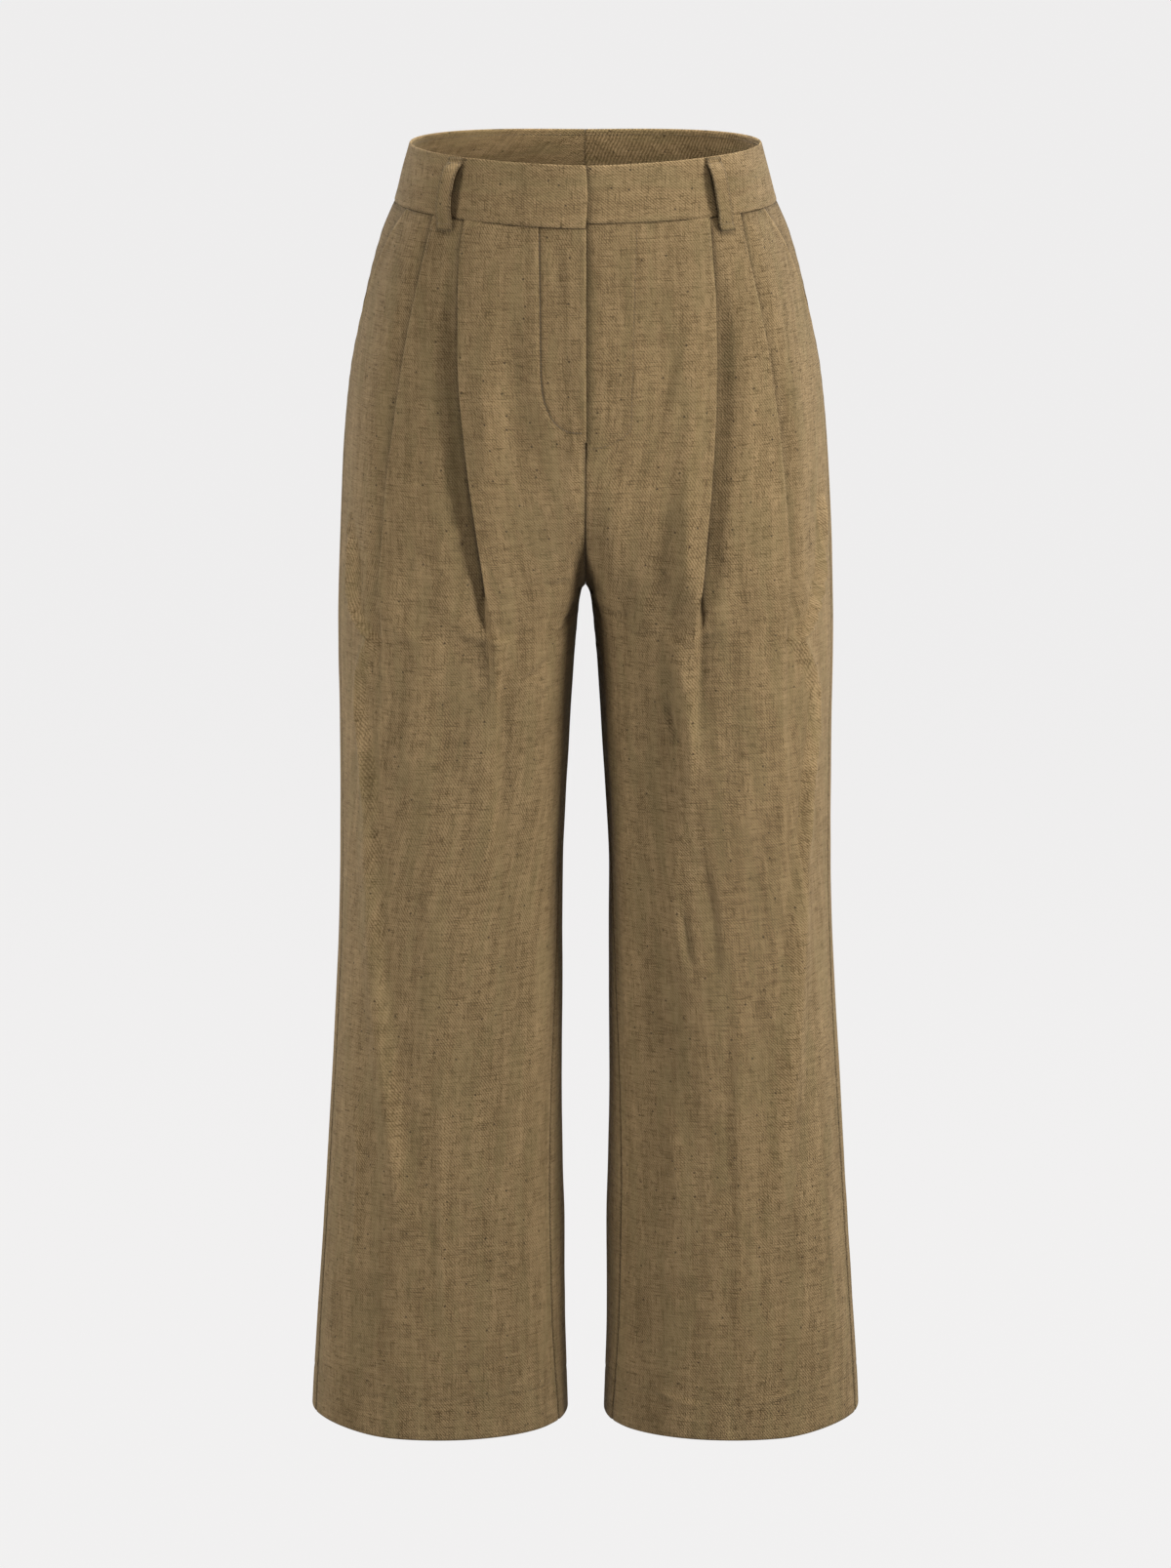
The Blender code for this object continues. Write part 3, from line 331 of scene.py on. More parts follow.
# ================================================================== creases
# Each is a soft line laid on a panel, drawn one by one: u is the distance from the
# middle and z the height of its points.  width is its half width, height is + for
# a ridge and - for a trough, lean puts a trough (+) on its outer side or (-) on
# its inner side, fade is the length over which each end dies away.  All in mm.
CREASE_COLUMNS = ("panel", "points", "width", "height", "lean", "fade")
CREASE_ROWS = (
    # ---- right leg's front (left in the photo)
    # crisp fold that hangs beside the outseam, then the wide soft one it becomes
    ("front_right", ((177, -235), (174, -270), (171, -320), (168, -370), (165, -425),
                     (161, -482)), 4.5, 2.3, -0.9, 45),
    ("front_right", ((164, -420), (160, -500), (157, -591), (152, -660), (147, -705),
                     (141, -765), (134, -815)), 8, 2.4, -0.7, 90),
    ("front_right", ((160, -478), (157, -486), (155, -494)), 2.4, -1.0, 0.0, 7),
    ("front_right", ((155, -385), (153, -430), (152, -475)), 4, 0.9, 0.0, 25),
    ("front_right", ((176, -710), (173, -760), (175, -800), (178, -840)), 4, 0.9, -0.5, 30),
    # light band down the thigh with a step to the inner side
    ("front_right", ((74, -270), (72, -330), (70, -400), (70, -470), (73, -540)), 9, 2.4, -0.6, 60),
    ("front_right", ((60, -335), (58, -400), (58, -450), (60, -505)), 5, -1.2, 0.0, 60),
    ("front_right", ((108, -320), (105, -370), (101, -410), (94, -450), (90, -490)), 6.5, -1.3, 0.3, 65),
    ("front_right", ((128, -265), (128, -330), (127, -400), (124, -470)), 11, 1.7, 0.0, 60),
    ("front_right", ((45, -365), (46, -460), (52, -580), (62, -720)), 20, -2.0, 0.0, 90),
    ("front_right", ((88, -500), (90, -560), (96, -640)), 8, 0.9, 0.0, 60),
    ("front_right", ((104, -520), (103, -580), (102, -630)), 4, -0.7, 0.0, 30),
    ("front_right", ((130, -500), (131, -600), (134, -700)), 10, -1.5, 0.0, 70),
    # the ring where the inner pleat's shadow breaks, and short creases
    ("front_right", ((84, -246), (92, -247), (99, -250), (106, -257), (110, -268),
                     (111, -282)), 3.4, 1.3, 0.6, 12),
    ("front_right", ((88, -268), (84, -280), (81, -296)), 2.6, -1.0, 0.4, 10),
    ("front_right", ((118, -258), (124, -265), (128, -274), (130, -282)), 2.0, -0.9, 0.3, 7),
    ("front_right", ((54, -70), (53, -110), (51, -160), (52, -205)), 7, -1.5, 0.0, 35),
    ("front_right", ((44, -140), (43, -165), (44, -195)), 7, -1.3, 0.0, 22),
    ("front_right", ((72, -110), (71, -170), (68, -240)), 11, 1.5, 0.0, 50),
    ("front_right", ((21, -24), (20, -40), (19, -64), (20, -90)), 3.4, -0.45, 0.0, 26),
    ("front_right", ((27, -24), (27, -45), (27, -80)), 3.4, 0.40, 0.0, 26),
    ("front_right", ((12, -24), (12, -50), (13, -85)), 3.4, 0.40, 0.0, 26),
    ("front_right", ((15, -100), (14, -130), (15, -155)), 3.6, -0.8, 0.0, 20),
    ("front_right", ((2, -150), (6, -175), (9, -205), (9, -240)), 6, 1.1, 0.0, 25),
    # crotch: pinches and whiskers
    ("front_right", ((12, -288), (22, -291), (36, -289)), 2.6, -1.0, 0.4, 8),
    ("front_right", ((4, -300), (10, -309), (18, -318), (25, -326)), 2.8, -1.5, 0.5, 8),
    ("front_right", ((3, -318), (11, -325), (19, -334)), 2.4, -1.2, 0.4, 7),
    ("front_right", ((22, -350), (31, -356), (41, -362), (46, -368)), 2.4, -1.4, 0.5, 8),
    ("front_right", ((20, -372), (27, -377), (34, -384)), 2.2, -0.8, 0.3, 7),
    ("front_right", ((16, -400), (26, -408), (34, -420)), 3.0, -0.8, 0.3, 10),
    ("front_right", ((88, -459), (110, -461), (138, -460)), 2.4, -0.45, 0.5, 20),
    ("front_right", ((62, -468), (80, -471), (100, -470)), 2.2, 0.45, 0.4, 16),
    ("front_right", ((66, -482), (84, -484), (98, -483)), 2.0, -0.4, 0.4, 14),
    # press crease and the slanting wrinkles of the lower leg
    ("front_right", ((108, -600), (110, -693), (110, -830), (110, -963)), 5.0, 1.2, 0.7, 110),
    ("front_right", ((62, -668), (80, -683), (104, -692)), 3.2, -0.5, 0.4, 18),
    ("front_right", ((64, -700), (84, -713), (104, -722)), 3.2, 0.5, 0.4, 18),
    ("front_right", ((70, -765), (88, -773), (104, -778)), 2.6, -0.5, 0.4, 14),
    ("front_right", ((70, -740), (92, -752), (106, -758)), 3.0, 0.5, 0.2, 16),
    ("front_right", ((66, -802), (86, -812), (106, -820)), 3.0, -0.45, 0.4, 16),
    ("front_right", ((116, -706), (130, -700), (142, -690)), 3.0, -0.45, 0.3, 14),
    ("front_right", ((118, -800), (140, -806), (160, -818)), 3.4, -0.5, 0.3, 18),
    ("front_right", ((120, -846), (142, -856), (164, -872)), 3.6, -0.5, 0.3, 20),
    ("front_right", ((60, -900), (84, -906), (108, -905)), 3.0, -0.5, 0.4, 18),
    ("front_right", ((120, -908), (142, -904), (168, -898)), 3.4, 0.6, 0.4, 18),
    ("front_right", ((84, -930), (84, -944), (85, -958)), 2.6, -0.7, 0.3, 8),
    ("front_right", ((58, -926), (58, -942), (59, -958)), 2.6, -0.6, 0.3, 8),
    # ---- left leg's front (right in the photo)
    ("front_left", ((179, -208), (177, -250), (175, -300), (172, -380), (168, -450),
                    (163, -520)), 4.5, 2.3, -0.9, 45),
    ("front_left", ((166, -470), (162, -530), (158, -600), (155, -660), (150, -710),
                    (145, -765), (139, -825)), 8, 2.6, -0.7, 90),
    ("front_left", ((171, -215), (170, -245), (167, -282)), 3.0, -1.1, 0.3, 14),
    ("front_left", ((163, -375), (160, -392), (157, -405)), 2.6, -0.8, 0.3, 10),
    ("front_left", ((151, -400), (149, -450), (147, -500)), 4, 1.0, 0.0, 30),
    ("front_left", ((156, -76), (158, -90), (161, -108)), 2.6, -0.7, 0.3, 9),
    # the drape fold from the hip down beside the fly
    ("front_left", ((76, -66), (74, -90), (70, -116), (65, -142), (59, -168), (53, -190),
                    (49, -205), (46, -226)), 4.2, 1.1, -1.1, 80),
    ("front_left", ((86, -80), (84, -120), (80, -160), (76, -200), (75, -260), (77, -330),
                    (79, -400), (78, -470)), 9, 3.0, 0.0, 60),
    ("front_left", ((60, -196), (61, -240), (61, -290), (62, -340), (64, -400), (66, -450)), 8,
     -1.5, 0.0, 70),
    ("front_left", ((52, -78), (54, -106), (54, -138)), 6.5, -0.8, 0.0, 28),
    ("front_left", ((24, -180), (22, -220), (21, -270), (24, -300)), 9, 1.7, 0.0, 40),
    ("front_left", ((38, -100), (38, -140), (36, -175)), 8, 0.9, 0.0, 35),
    ("front_left", ((87, -272), (85, -300), (82, -325), (80, -350)), 1.9, -0.75, 0.0, 34),
    ("front_left", ((12, -196), (19, -189), (26, -180)), 2.2, -0.7, 0.2, 7),
    ("front_left", ((14, -212), (22, -202), (32, -188)), 2.2, -0.8, 0.2, 8),
    ("front_left", ((16, -232), (26, -218), (36, -206)), 2.4, -0.6, 0.2, 9),
    ("front_left", ((104, -60), (104, -110), (105, -185)), 7, -0.9, 0.0, 55),
    ("front_left", ((122, -100), (123, -160), (124, -240)), 9, 1.2, 0.0, 50),
    ("front_left", ((94, -262), (100, -268), (106, -276)), 2.2, -0.7, 0.3, 7),
    ("front_left", ((108, -280), (108, -340), (112, -400), (108, -445), (104, -500)), 8, -1.7, 0.2, 75),
    ("front_left", ((88, -490), (92, -515), (97, -545), (100, -610)), 4.5, -1.3, 0.5, 36),
    ("front_left", ((74, -540), (77, -562), (81, -592)), 3.0, -1.1, 0.4, 14),
    ("front_left", ((63, -352), (64, -362), (66, -376)), 2.0, -1.0, 0.3, 7),
    ("front_left", ((57, -376), (60, -388), (64, -402), (68, -418)), 2.6, -1.4, -0.6, 12),
    ("front_left", ((34, -286), (38, -300), (43, -318), (46, -334)), 2.8, -0.9, 0.3, 12),
    ("front_left", ((4, -300), (10, -310), (17, -322)), 2.6, -1.2, 0.4, 8),
    ("front_left", ((46, -360), (45, -450), (50, -580), (62, -740)), 20, -2.8, 0.0, 90),
    ("front_left", ((66, -470), (66, -530), (70, -600)), 8, 1.5, 0.0, 40),
    ("front_left", ((130, -430), (131, -560), (134, -700)), 10, -1.5, 0.0, 70),
    ("front_left", ((74, -440), (92, -442), (104, -440)), 2.2, -0.45, 0.4, 12),
    ("front_left", ((72, -474), (90, -476), (108, -472)), 2.2, -0.45, 0.4, 14),
    ("front_left", ((112, -560), (114, -640), (115, -731), (115, -850), (115, -963)), 5.0, 1.1,
     -0.7, 110),
    ("front_left", ((82, -672), (83, -700), (82, -736)), 3.6, -0.42, 0.2, 26),
    ("front_left", ((86, -735), (86, -760), (88, -792)), 3.6, -0.40, 0.2, 22),
    ("front_left", ((98, -600), (99, -650), (102, -715)), 4, -0.45, 0.2, 40),
    ("front_left", ((62, -690), (68, -740), (72, -800)), 6, 1.0, 0.0, 40),
    ("front_left", ((124, -690), (136, -684), (146, -676)), 3.0, -0.45, 0.3, 12),
    ("front_left", ((92, -770), (110, -764), (130, -757)), 2.8, -0.5, 0.3, 14),
    ("front_left", ((120, -796), (134, -788), (148, -780)), 2.8, -0.45, 0.3, 12),
    ("front_left", ((64, -838), (84, -846), (104, -850)), 3.0, -0.45, 0.4, 16),
    ("front_left", ((64, -880), (84, -884), (106, -884)), 3.0, -0.45, 0.4, 16),
    ("front_left", ((124, -880), (144, -876), (166, -868)), 3.2, 0.5, 0.4, 16),
    ("front_left", ((52, -928), (70, -934), (92, -937)), 2.8, 0.7, 0.4, 12),
    ("front_left", ((124, -935), (146, -932), (168, -926)), 2.8, 0.6, 0.4, 12),
    ("front_left", ((112, -942), (112, -950), (113, -962)), 2.4, -0.6, 0.0, 6),
    # ---- right leg's back: similar folds, on a plain back
    ("back_right", ((110, -330), (108, -440), (107, -580), (108, -760), (108, -963)), 5.5, 1.3, 0.5, 120),
    ("back_right", ((168, -190), (163, -260), (158, -340), (154, -430), (150, -520)), 9, 2.4, 0.5, 60),
    ("back_right", ((150, -470), (146, -560), (142, -660), (138, -760)), 11, 1.9, 0.4, 80),
    ("back_right", ((136, -210), (134, -300), (131, -400), (130, -500)), 9, -2.0, 0.0, 60),
    ("back_right", ((60, -330), (60, -420), (64, -530), (72, -660)), 13, -2.2, 0.0, 80),
    ("back_right", ((20, -300), (40, -318), (62, -330), (84, -336)), 5.0, -1.7, 0.4, 20),
    ("back_right", ((24, -326), (44, -346), (66, -360), (86, -366)), 5.0, -1.4, 0.4, 20),
    ("back_right", ((30, -360), (46, -384), (60, -402)), 4.0, -1.0, 0.4, 16),
    ("back_right", ((84, -430), (86, -490), (84, -560)), 5.5, 1.3, 0.0, 35),
    ("back_right", ((124, -560), (122, -640), (121, -720)), 6, -1.2, 0.0, 45),
    ("back_right", ((70, -480), (90, -490), (112, -494)), 3.0, -0.7, 0.4, 16),
    ("back_right", ((66, -512), (84, -524), (104, -530)), 3.0, -0.7, 0.4, 16),
    ("back_right", ((112, -524), (130, -516), (146, -504)), 3.2, -0.7, 0.4, 15),
    ("back_right", ((74, -736), (92, -744), (106, -746)), 2.8, -0.5, 0.4, 14),
    ("back_right", ((120, -800), (140, -796), (158, -788)), 3.0, -0.5, 0.4, 15),
    ("back_right", ((62, -856), (84, -864), (104, -866)), 3.0, 0.5, 0.4, 15),
    ("back_right", ((46, -60), (44, -100), (42, -150)), 9, 0.9, 0.0, 40),
    ("back_right", ((108, -70), (110, -120), (112, -180)), 9, -0.9, 0.0, 40),
    ("back_right", ((12, -46), (30, -52), (52, -54)), 4.0, -0.5, 0.4, 14),
    # ---- left leg's back
    ("back_left", ((110, -340), (109, -450), (108, -590), (109, -770), (109, -963)), 5.5, 1.3, 0.5, 120),
    ("back_left", ((170, -200), (165, -275), (160, -350), (156, -440), (151, -540)), 9, 2.3, 0.5, 60),
    ("back_left", ((150, -490), (147, -580), (143, -680), (139, -780)), 11, 2.0, 0.4, 80),
    ("back_left", ((138, -230), (135, -320), (132, -420), (131, -520)), 9, -2.0, 0.0, 60),
    ("back_left", ((58, -340), (59, -430), (63, -540), (70, -680)), 13, -2.2, 0.0, 80),
    ("back_left", ((18, -306), (36, -322), (58, -332), (76, -336)), 5.0, -1.6, 0.4, 20),
    ("back_left", ((26, -338), (46, -356), (68, -366)), 4.6, -1.3, 0.4, 18),
    ("back_left", ((28, -372), (42, -392), (54, -414)), 4.0, -0.9, 0.4, 16),
    ("back_left", ((86, -400), (87, -470), (84, -545)), 5.5, 1.3, 0.0, 35),
    ("back_left", ((122, -600), (121, -670), (121, -740)), 6, -1.2, 0.0, 45),
    ("back_left", ((72, -470), (92, -482), (110, -486)), 3.0, -0.7, 0.4, 16),
    ("back_left", ((110, -498), (128, -492), (146, -480)), 3.2, -0.7, 0.4, 15),
    ("back_left", ((70, -534), (88, -542), (104, -544)), 3.0, -0.6, 0.4, 14),
    ("back_left", ((76, -700), (92, -708), (106, -709)), 2.8, -0.5, 0.4, 14),
    ("back_left", ((118, -760), (138, -757), (156, -748)), 3.0, 0.5, 0.4, 15),
    ("back_left", ((64, -820), (84, -829), (104, -832)), 3.0, -0.5, 0.4, 15),
    ("back_left", ((48, -66), (46, -104), (44, -160)), 9, 0.9, 0.0, 40),
    ("back_left", ((104, -60), (108, -110), (110, -170)), 9, -0.8, 0.0, 40),
    ("back_left", ((14, -50), (32, -57), (56, -58)), 4.0, -0.5, 0.4, 14),
)
# the J of stitches round the fly and the shield's row, as fine valleys (u, z in mm)
J_POINTS = ((34.0, -20), (33.6, -60), (33.2, -100), (32.9, -130), (31.5, -145), (27.5, -158),
            (20.5, -168), (11.0, -172.6), (2.0, -173.0))
SHIELD_POINTS = ((38.0, -24), (36.6, -60), (35.2, -110), (34.2, -150), (33.6, -170),
                 (26.0, -178), (14.0, -183.5), (2.0, -186.0))


J_Z = np.array([z for _, z in J_POINTS[:6]]) * MM
J_U = np.array([u for u, _ in J_POINTS[:6]]) * MM


def spline(points, count=60):
    """Smooth line through given points."""
    p = np.asarray(points, float)
    if len(p) < 3:
        t = np.linspace(0, 1, count)[:, None]
        return p[0] + (p[-1] - p[0]) * t
    d = np.concatenate([[0.0], np.cumsum(np.linalg.norm(np.diff(p, axis=0), axis=1))])
    t = np.linspace(0.0, d[-1], count)
    return np.stack([through(d, p[:, k], t) for k in range(p.shape[1])], -1)


_level_rows = {}


def place(half, u, z):
    """Length along the panel's level row at which it is u from the middle."""
    key = (half, round(z, 4))
    if key not in _level_rows:
        _level_rows[key] = (Row(row_height(z) if z < -0.045 else (lambda sh: np.full_like(sh, z)),
                                -0.08, 0.56) if half == "front" else
                            Row(row_height(z) if z < -0.045 else (lambda sh: np.full_like(sh, z)),
                                0.44, 1.0))
    row = _level_rows[key]
    if half == "front":
        pick = (row.share >= 0.0) & (row.share <= 0.5)
        return float(np.interp(u, row.point[pick, 0], row.length[pick]))
    pick = row.share >= 0.5
    x, s = row.point[pick, 0][::-1], row.length[pick][::-1]
    return float(np.interp(u, x, s)) - row.length_at(0.5)


RELIEF = 1.55   # how much deeper the worn creases lie than the table's first measure


def line_lift(half, points, width, height, lean, fade, s, z, lift, tone=None, mark=0.30):
    """Adds one soft line to lift, the height over a panel at lengths s, heights z, and its painted shade
    or highlight to tone if given.
    """
    line = spline(np.array([(place(half, u * MM, w * MM), w * MM) for u, w in points]))
    step = np.concatenate([[0.0], np.cumsum(np.linalg.norm(np.diff(line, axis=0), axis=1))])
    lo, hi = line.min(0) - 4 * width * MM, line.max(0) + 4 * width * MM
    near = (s > lo[0]) & (s < hi[0]) & (z > lo[1]) & (z < hi[1])
    if not near.any():
        return
    q = np.stack([s[near], z[near]], -1)
    a, b = line[:-1], line[1:]
    ab = b - a
    t = ((q[:, None] - a) * ab).sum(-1) / (ab ** 2).sum(-1)
    t = np.clip(t, 0.0, 1.0)
    gap = q[:, None] - (a + ab * t[..., None])
    distance = np.linalg.norm(gap, axis=-1)
    k = distance.argmin(1)
    pick = np.arange(len(k))
    along = step[k] + t[pick, k] * np.linalg.norm(ab[k], axis=1)
    direction = ab[k]
    side = np.sign(direction[:, 0] * gap[pick, k, 1] - direction[:, 1] * gap[pick, k, 0])
    d = distance[pick, k] * side / (width * MM)
    fade = min(fade * MM, 0.5 * step[-1])
    ends = smooth(along / fade) * smooth((step[-1] - along) / fade) if fade > 0 else 1.0
    lift[near] += height * MM * ends * (np.exp(-d * d) - lean * d * np.exp(0.5 - 0.5 * d * d))
    # painted shade along a trough's middle, painted highlight along a ridge's middle
    if tone is not None:
        core = np.exp(-(d / 0.8) ** 2)
        tone[near] += mark * height / width * ends * core


def crease_height(panel, s, z):
    """Height and painted shade or highlight (tone) of every crease of one panel at lengths s and heights
    z (arrays).
    """
    lift, tone = np.zeros_like(s), np.zeros_like(s)
    for name, points, width, height, lean, fade in CREASE_ROWS:
        if name == panel:
            line_lift(panel.split("_")[0], points, width, height * RELIEF, lean, fade, s, z,
                      lift, tone, 0.24)
    return lift, tone


def lattice(s, z, cell_s, cell_z, seed):
    """Soft random field with stretched cells, from -1 to 1."""
    rng = np.random.default_rng(seed)
    grid = rng.uniform(-1, 1, (80, 160))
    a = s / cell_s + 20.0
    b = -z / cell_z + 20.0
    i, j = np.floor(a).astype(int), np.floor(b).astype(int)
    fa, fb = a - i, b - j
    out = np.zeros_like(a)
    # quadratic B-spline weights keep the field free of cell edges
    for di in (-1, 0, 1):
        ta = fa - 0.5 - di
        wa = np.where(np.abs(ta) < 0.5, 0.75 - ta ** 2, 0.5 * np.maximum(1.5 - np.abs(ta), 0) ** 2)
        for dj in (-1, 0, 1):
            tb = fb - 0.5 - dj
            wb = np.where(np.abs(tb) < 0.5, 0.75 - tb ** 2,
                          0.5 * np.maximum(1.5 - np.abs(tb), 0) ** 2)
            out += wa * wb * grid[(i + di) % 80, (j + dj) % 160]
    return out


def cloth_life(s, z, seed):
    """The slight unevenness of well-used cloth, mostly long and upright."""
    return (0.75 * MM * lattice(s, z, 0.030, 0.150, seed)
            + 0.40 * MM * lattice(s, z, 0.014, 0.070, seed + 1)
            + 0.22 * MM * lattice(s, z, 0.050, 0.024, seed + 2)
            + 0.10 * MM * lattice(s, z, 0.007, 0.018, seed + 3))


# ================================================================== fold profile
FOLD_COLUMNS_COUNT = 27


def spline_basis(points, count):
    """Clamped cubic B-spline weights, count rows by points columns."""
    degree = 3
    knots = np.concatenate([np.zeros(degree), np.linspace(0, 1, points - degree + 1),
                            np.ones(degree)])
    t = np.linspace(0, 1 - 1e-9, count)
    n = np.array([(t >= knots[i]) & (t < knots[i + 1]) for i in range(len(knots) - 1)], float)
    for k in range(1, degree + 1):
        nxt = []
        for i in range(len(knots) - 1 - k):
            left = knots[i + k] - knots[i]
            right = knots[i + k + 1] - knots[i + 1]
            value = np.zeros_like(t)
            if left > 0:
                value += (t - knots[i]) / left * n[i]
            if right > 0:
                value += (knots[i + k + 1] - t) / right * n[i + 1]
            nxt.append(value)
        n = np.array(nxt)
    return n.T


BASIS = spline_basis(11, FOLD_COLUMNS_COUNT)
FOLD_LEAD = 7 * MM
FOLD_TAIL = 5 * MM


def fold_curve(overlap, rise, sink, folded):
    """Lengths and heights of one pleat's folded part, from its fold edge at 0."""
    middle = 0.5 * (rise - sink)
    r = 0.5 * MM
    laid_s = np.array([-overlap - FOLD_LEAD, -overlap * 0.7 - 2 * MM, -overlap * 0.2, r, r,
                       -overlap * 0.5, -overlap - r, -overlap - r, -overlap * 0.5,
                       2 * MM, FOLD_TAIL])
    laid_n = np.array([rise, rise, rise, rise, middle, middle, middle, -sink, -sink,
                       -sink, -sink])
    open_s = np.linspace(-FOLD_LEAD, FOLD_TAIL, 11)
    open_n = np.array([rise, rise, rise, rise * 0.9, rise * 0.5, middle, -sink * 0.5,
                       -sink * 0.9, -sink, -sink, -sink])
    s = open_s + (laid_s - open_s) * folded
    n = open_n + (laid_n - open_n) * folded
    return BASIS @ s, BASIS @ n


def pleat_line(side, which):
    rows_z = named(PLEAT_ROWS, PLEAT_COLUMNS, "z")
    rows_u = named(PLEAT_ROWS, PLEAT_COLUMNS, side + "_" + which)
    return lambda z: through(rows_z, rows_u, z)


def depth(side, which, name, z):
    rows = PLEAT_DEPTH[side + "_" + which]
    return float(through(named(rows, DEPTH_COLUMNS, "z"), named(rows, DEPTH_COLUMNS, name), z)) * MM


# ================================================================== meshes
def make_mesh(name, verts, quads, uv, shade=None):
    mesh = bpy.data.meshes.new(name)
    mesh.vertices.add(len(verts))
    mesh.vertices.foreach_set("co", np.asarray(verts, np.float32).ravel())
    quads = np.asarray(quads, np.int32)
    mesh.loops.add(quads.size)
    mesh.loops.foreach_set("vertex_index", quads.ravel())
    mesh.polygons.add(len(quads))
    mesh.polygons.foreach_set("loop_start", np.arange(0, quads.size, 4, dtype=np.int32))
    mesh.polygons.foreach_set("loop_total", np.full(len(quads), 4, np.int32))
    mesh.update(calc_edges=True)
    mesh.validate()
    layer = mesh.uv_layers.new(name="cloth")
    layer.data.foreach_set("uv", np.asarray(uv, np.float32)[quads.ravel()].ravel())
    # tone multiplies the cloth colour: under 1 is painted shade in creases, under folds and beside loops,
    # and darker seams; over 1 is painted highlight on ridges and edges
    tone = mesh.attributes.new("tone", "FLOAT", "POINT")
    tone.data.foreach_set("value", np.ones(len(verts), np.float32) if shade is None
                          else np.asarray(shade, np.float32).ravel())
    mesh.shade_smooth()
    return mesh


def shell(name, outside, inside, uv, mirror, shade=None, inner_shade=None):
    """Closed thin wall between two grids; uv is one pair for each grid point."""
    rows, cols = outside.shape[:2]
    shade = np.ones((rows, cols)) if shade is None else shade
    inner_shade = np.ones((rows, cols)) if inner_shade is None else inner_shade
    tones = np.clip(np.concatenate([shade.ravel(), inner_shade.ravel()]), 0.30, 1.30)
    base = rows * cols
    verts = np.concatenate([outside.reshape(-1, 3), inside.reshape(-1, 3)])
    if mirror:
        verts = verts * (-1, 1, 1)
    r, c = np.meshgrid(np.arange(rows - 1), np.arange(cols - 1), indexing="ij")
    a = (r * cols + c).ravel()
    front = np.stack([a, a + cols, a + cols + 1, a + 1], -1)
    back = np.stack([a, a + 1, a + cols + 1, a + cols], -1) + base
    r = np.arange(rows - 1)
    e0, e1 = r * cols, r * cols + cols - 1
    left = np.stack([e0, e0 + base, e0 + cols + base, e0 + cols], -1)
    right = np.stack([e1, e1 + cols, e1 + cols + base, e1 + base], -1)
    c = np.arange(cols - 1)
    t0, t1 = c, (rows - 1) * cols + c
    top = np.stack([t0, t0 + 1, t0 + 1 + base, t0 + base], -1)
    low = np.stack([t1, t1 + base, t1 + 1 + base, t1 + 1], -1)
    quads = np.concatenate([front, back, left, right, top, low])
    if mirror:
        quads = quads[:, ::-1]
    uv = np.concatenate([uv.reshape(-1, 2)] * 2)
    if mirror:
        uv = uv * (-1, 1)
    obj = bpy.data.objects.new(name, make_mesh(name, verts, quads, uv, tones))
    bpy.context.scene.collection.objects.link(obj)
    return obj


def walls(points, thickness, flip=False):
    """Second face of a shell, thickness (array) in from the grid along its normals."""
    down = np.gradient(points, axis=0)
    along = np.gradient(points, axis=1)
    n = np.cross(down, along)
    n /= np.maximum(np.linalg.norm(n, axis=-1, keepdims=True), 1e-12)
    if flip:
        n = -n
    return points - n * np.asarray(thickness)[..., None]


def face_normals(points):
    down = np.gradient(points, axis=0)
    along = np.gradient(points, axis=1)
    n = np.cross(down, along)
    return n / np.maximum(np.linalg.norm(n, axis=-1, keepdims=True), 1e-12)


# ================================================================== panels
def panel_heights():
    """(kind, value, roll, wall) for each row, from the waist seam down to the hem."""
    rows = []
    for drop in (0.0, 0.018, 0.05, 0.12):
        rows.append(("seam", drop))
    for drop in np.linspace(0.22, 1.0, 8):
        rows.append(("seam", float(drop)))
    for z in np.concatenate([np.arange(-0.048, -0.1469, -0.003), np.arange(-0.148, -0.1901, -0.0011),
                             np.arange(-0.192, -0.3601, -0.0028)]):
        rows.append(("level", float(z)))
    for z in np.linspace(-0.3635, HEM_Z + HEM_DEPTH + 0.003, 158):
        rows.append(("level", float(z)))
    for z in (HEM_Z + HEM_DEPTH + 0.0012, HEM_Z + HEM_DEPTH, HEM_Z + HEM_DEPTH - 0.0012):
        rows.append(("level", float(z)))
    for z in np.linspace(HEM_Z + HEM_DEPTH - 0.004, HEM_Z + 0.002, 9):
        rows.append(("level", float(z)))
    for z in (HEM_Z + 0.0008, HEM_Z + 0.0002, HEM_Z):
        rows.append(("level", float(z)))
    return rows


PANEL_ROWS = panel_heights()


def edge_cluster(start, end, count, at_start=True, at_end=False):
    """Lengths from start to end, closer together by a sewn or turned edge."""
    q = np.linspace(0.0, 1.0, count)
    s = start + (end - start) * q
    close = np.array([0.0, 0.35, 0.9, 1.9]) * MM
    if at_start:
        s = np.concatenate([start + close, np.linspace(start + 4 * MM, end, count - 4)])
    if at_end:
        lead = s[:len(s) - 4] if not at_start else s
        if at_start:
            inner = np.linspace(start + 4 * MM, end - 4 * MM, count - 8)
            s = np.concatenate([start + close, inner, end - close[::-1]])
        else:
            inner = np.linspace(start, end - 4 * MM, count - 4)
            s = np.concatenate([inner, end - close[::-1]])
    return s


def hem_shape(z_side):
    """How far the row turns in at the hem's fold, and the wall's thickness there."""
    turn = (HEM_Z + 0.0016 - z_side) / 0.0016
    roll = -0.55 * MM * np.clip(turn, 0.0, 1.0) ** 2
    inside_hem = smooth((HEM_Z + HEM_DEPTH + 0.0012 - z_side) / 0.0024)
    return float(roll), float(CLOTH + inside_hem * (1.5 * MM - CLOTH))


def hem_rise(x, z):
    """The hem is a little shorter at its outer corner."""
    return 4.5 * MM * smooth((x - 0.150) / 0.062) * smooth((-0.900 - z) / 0.05)


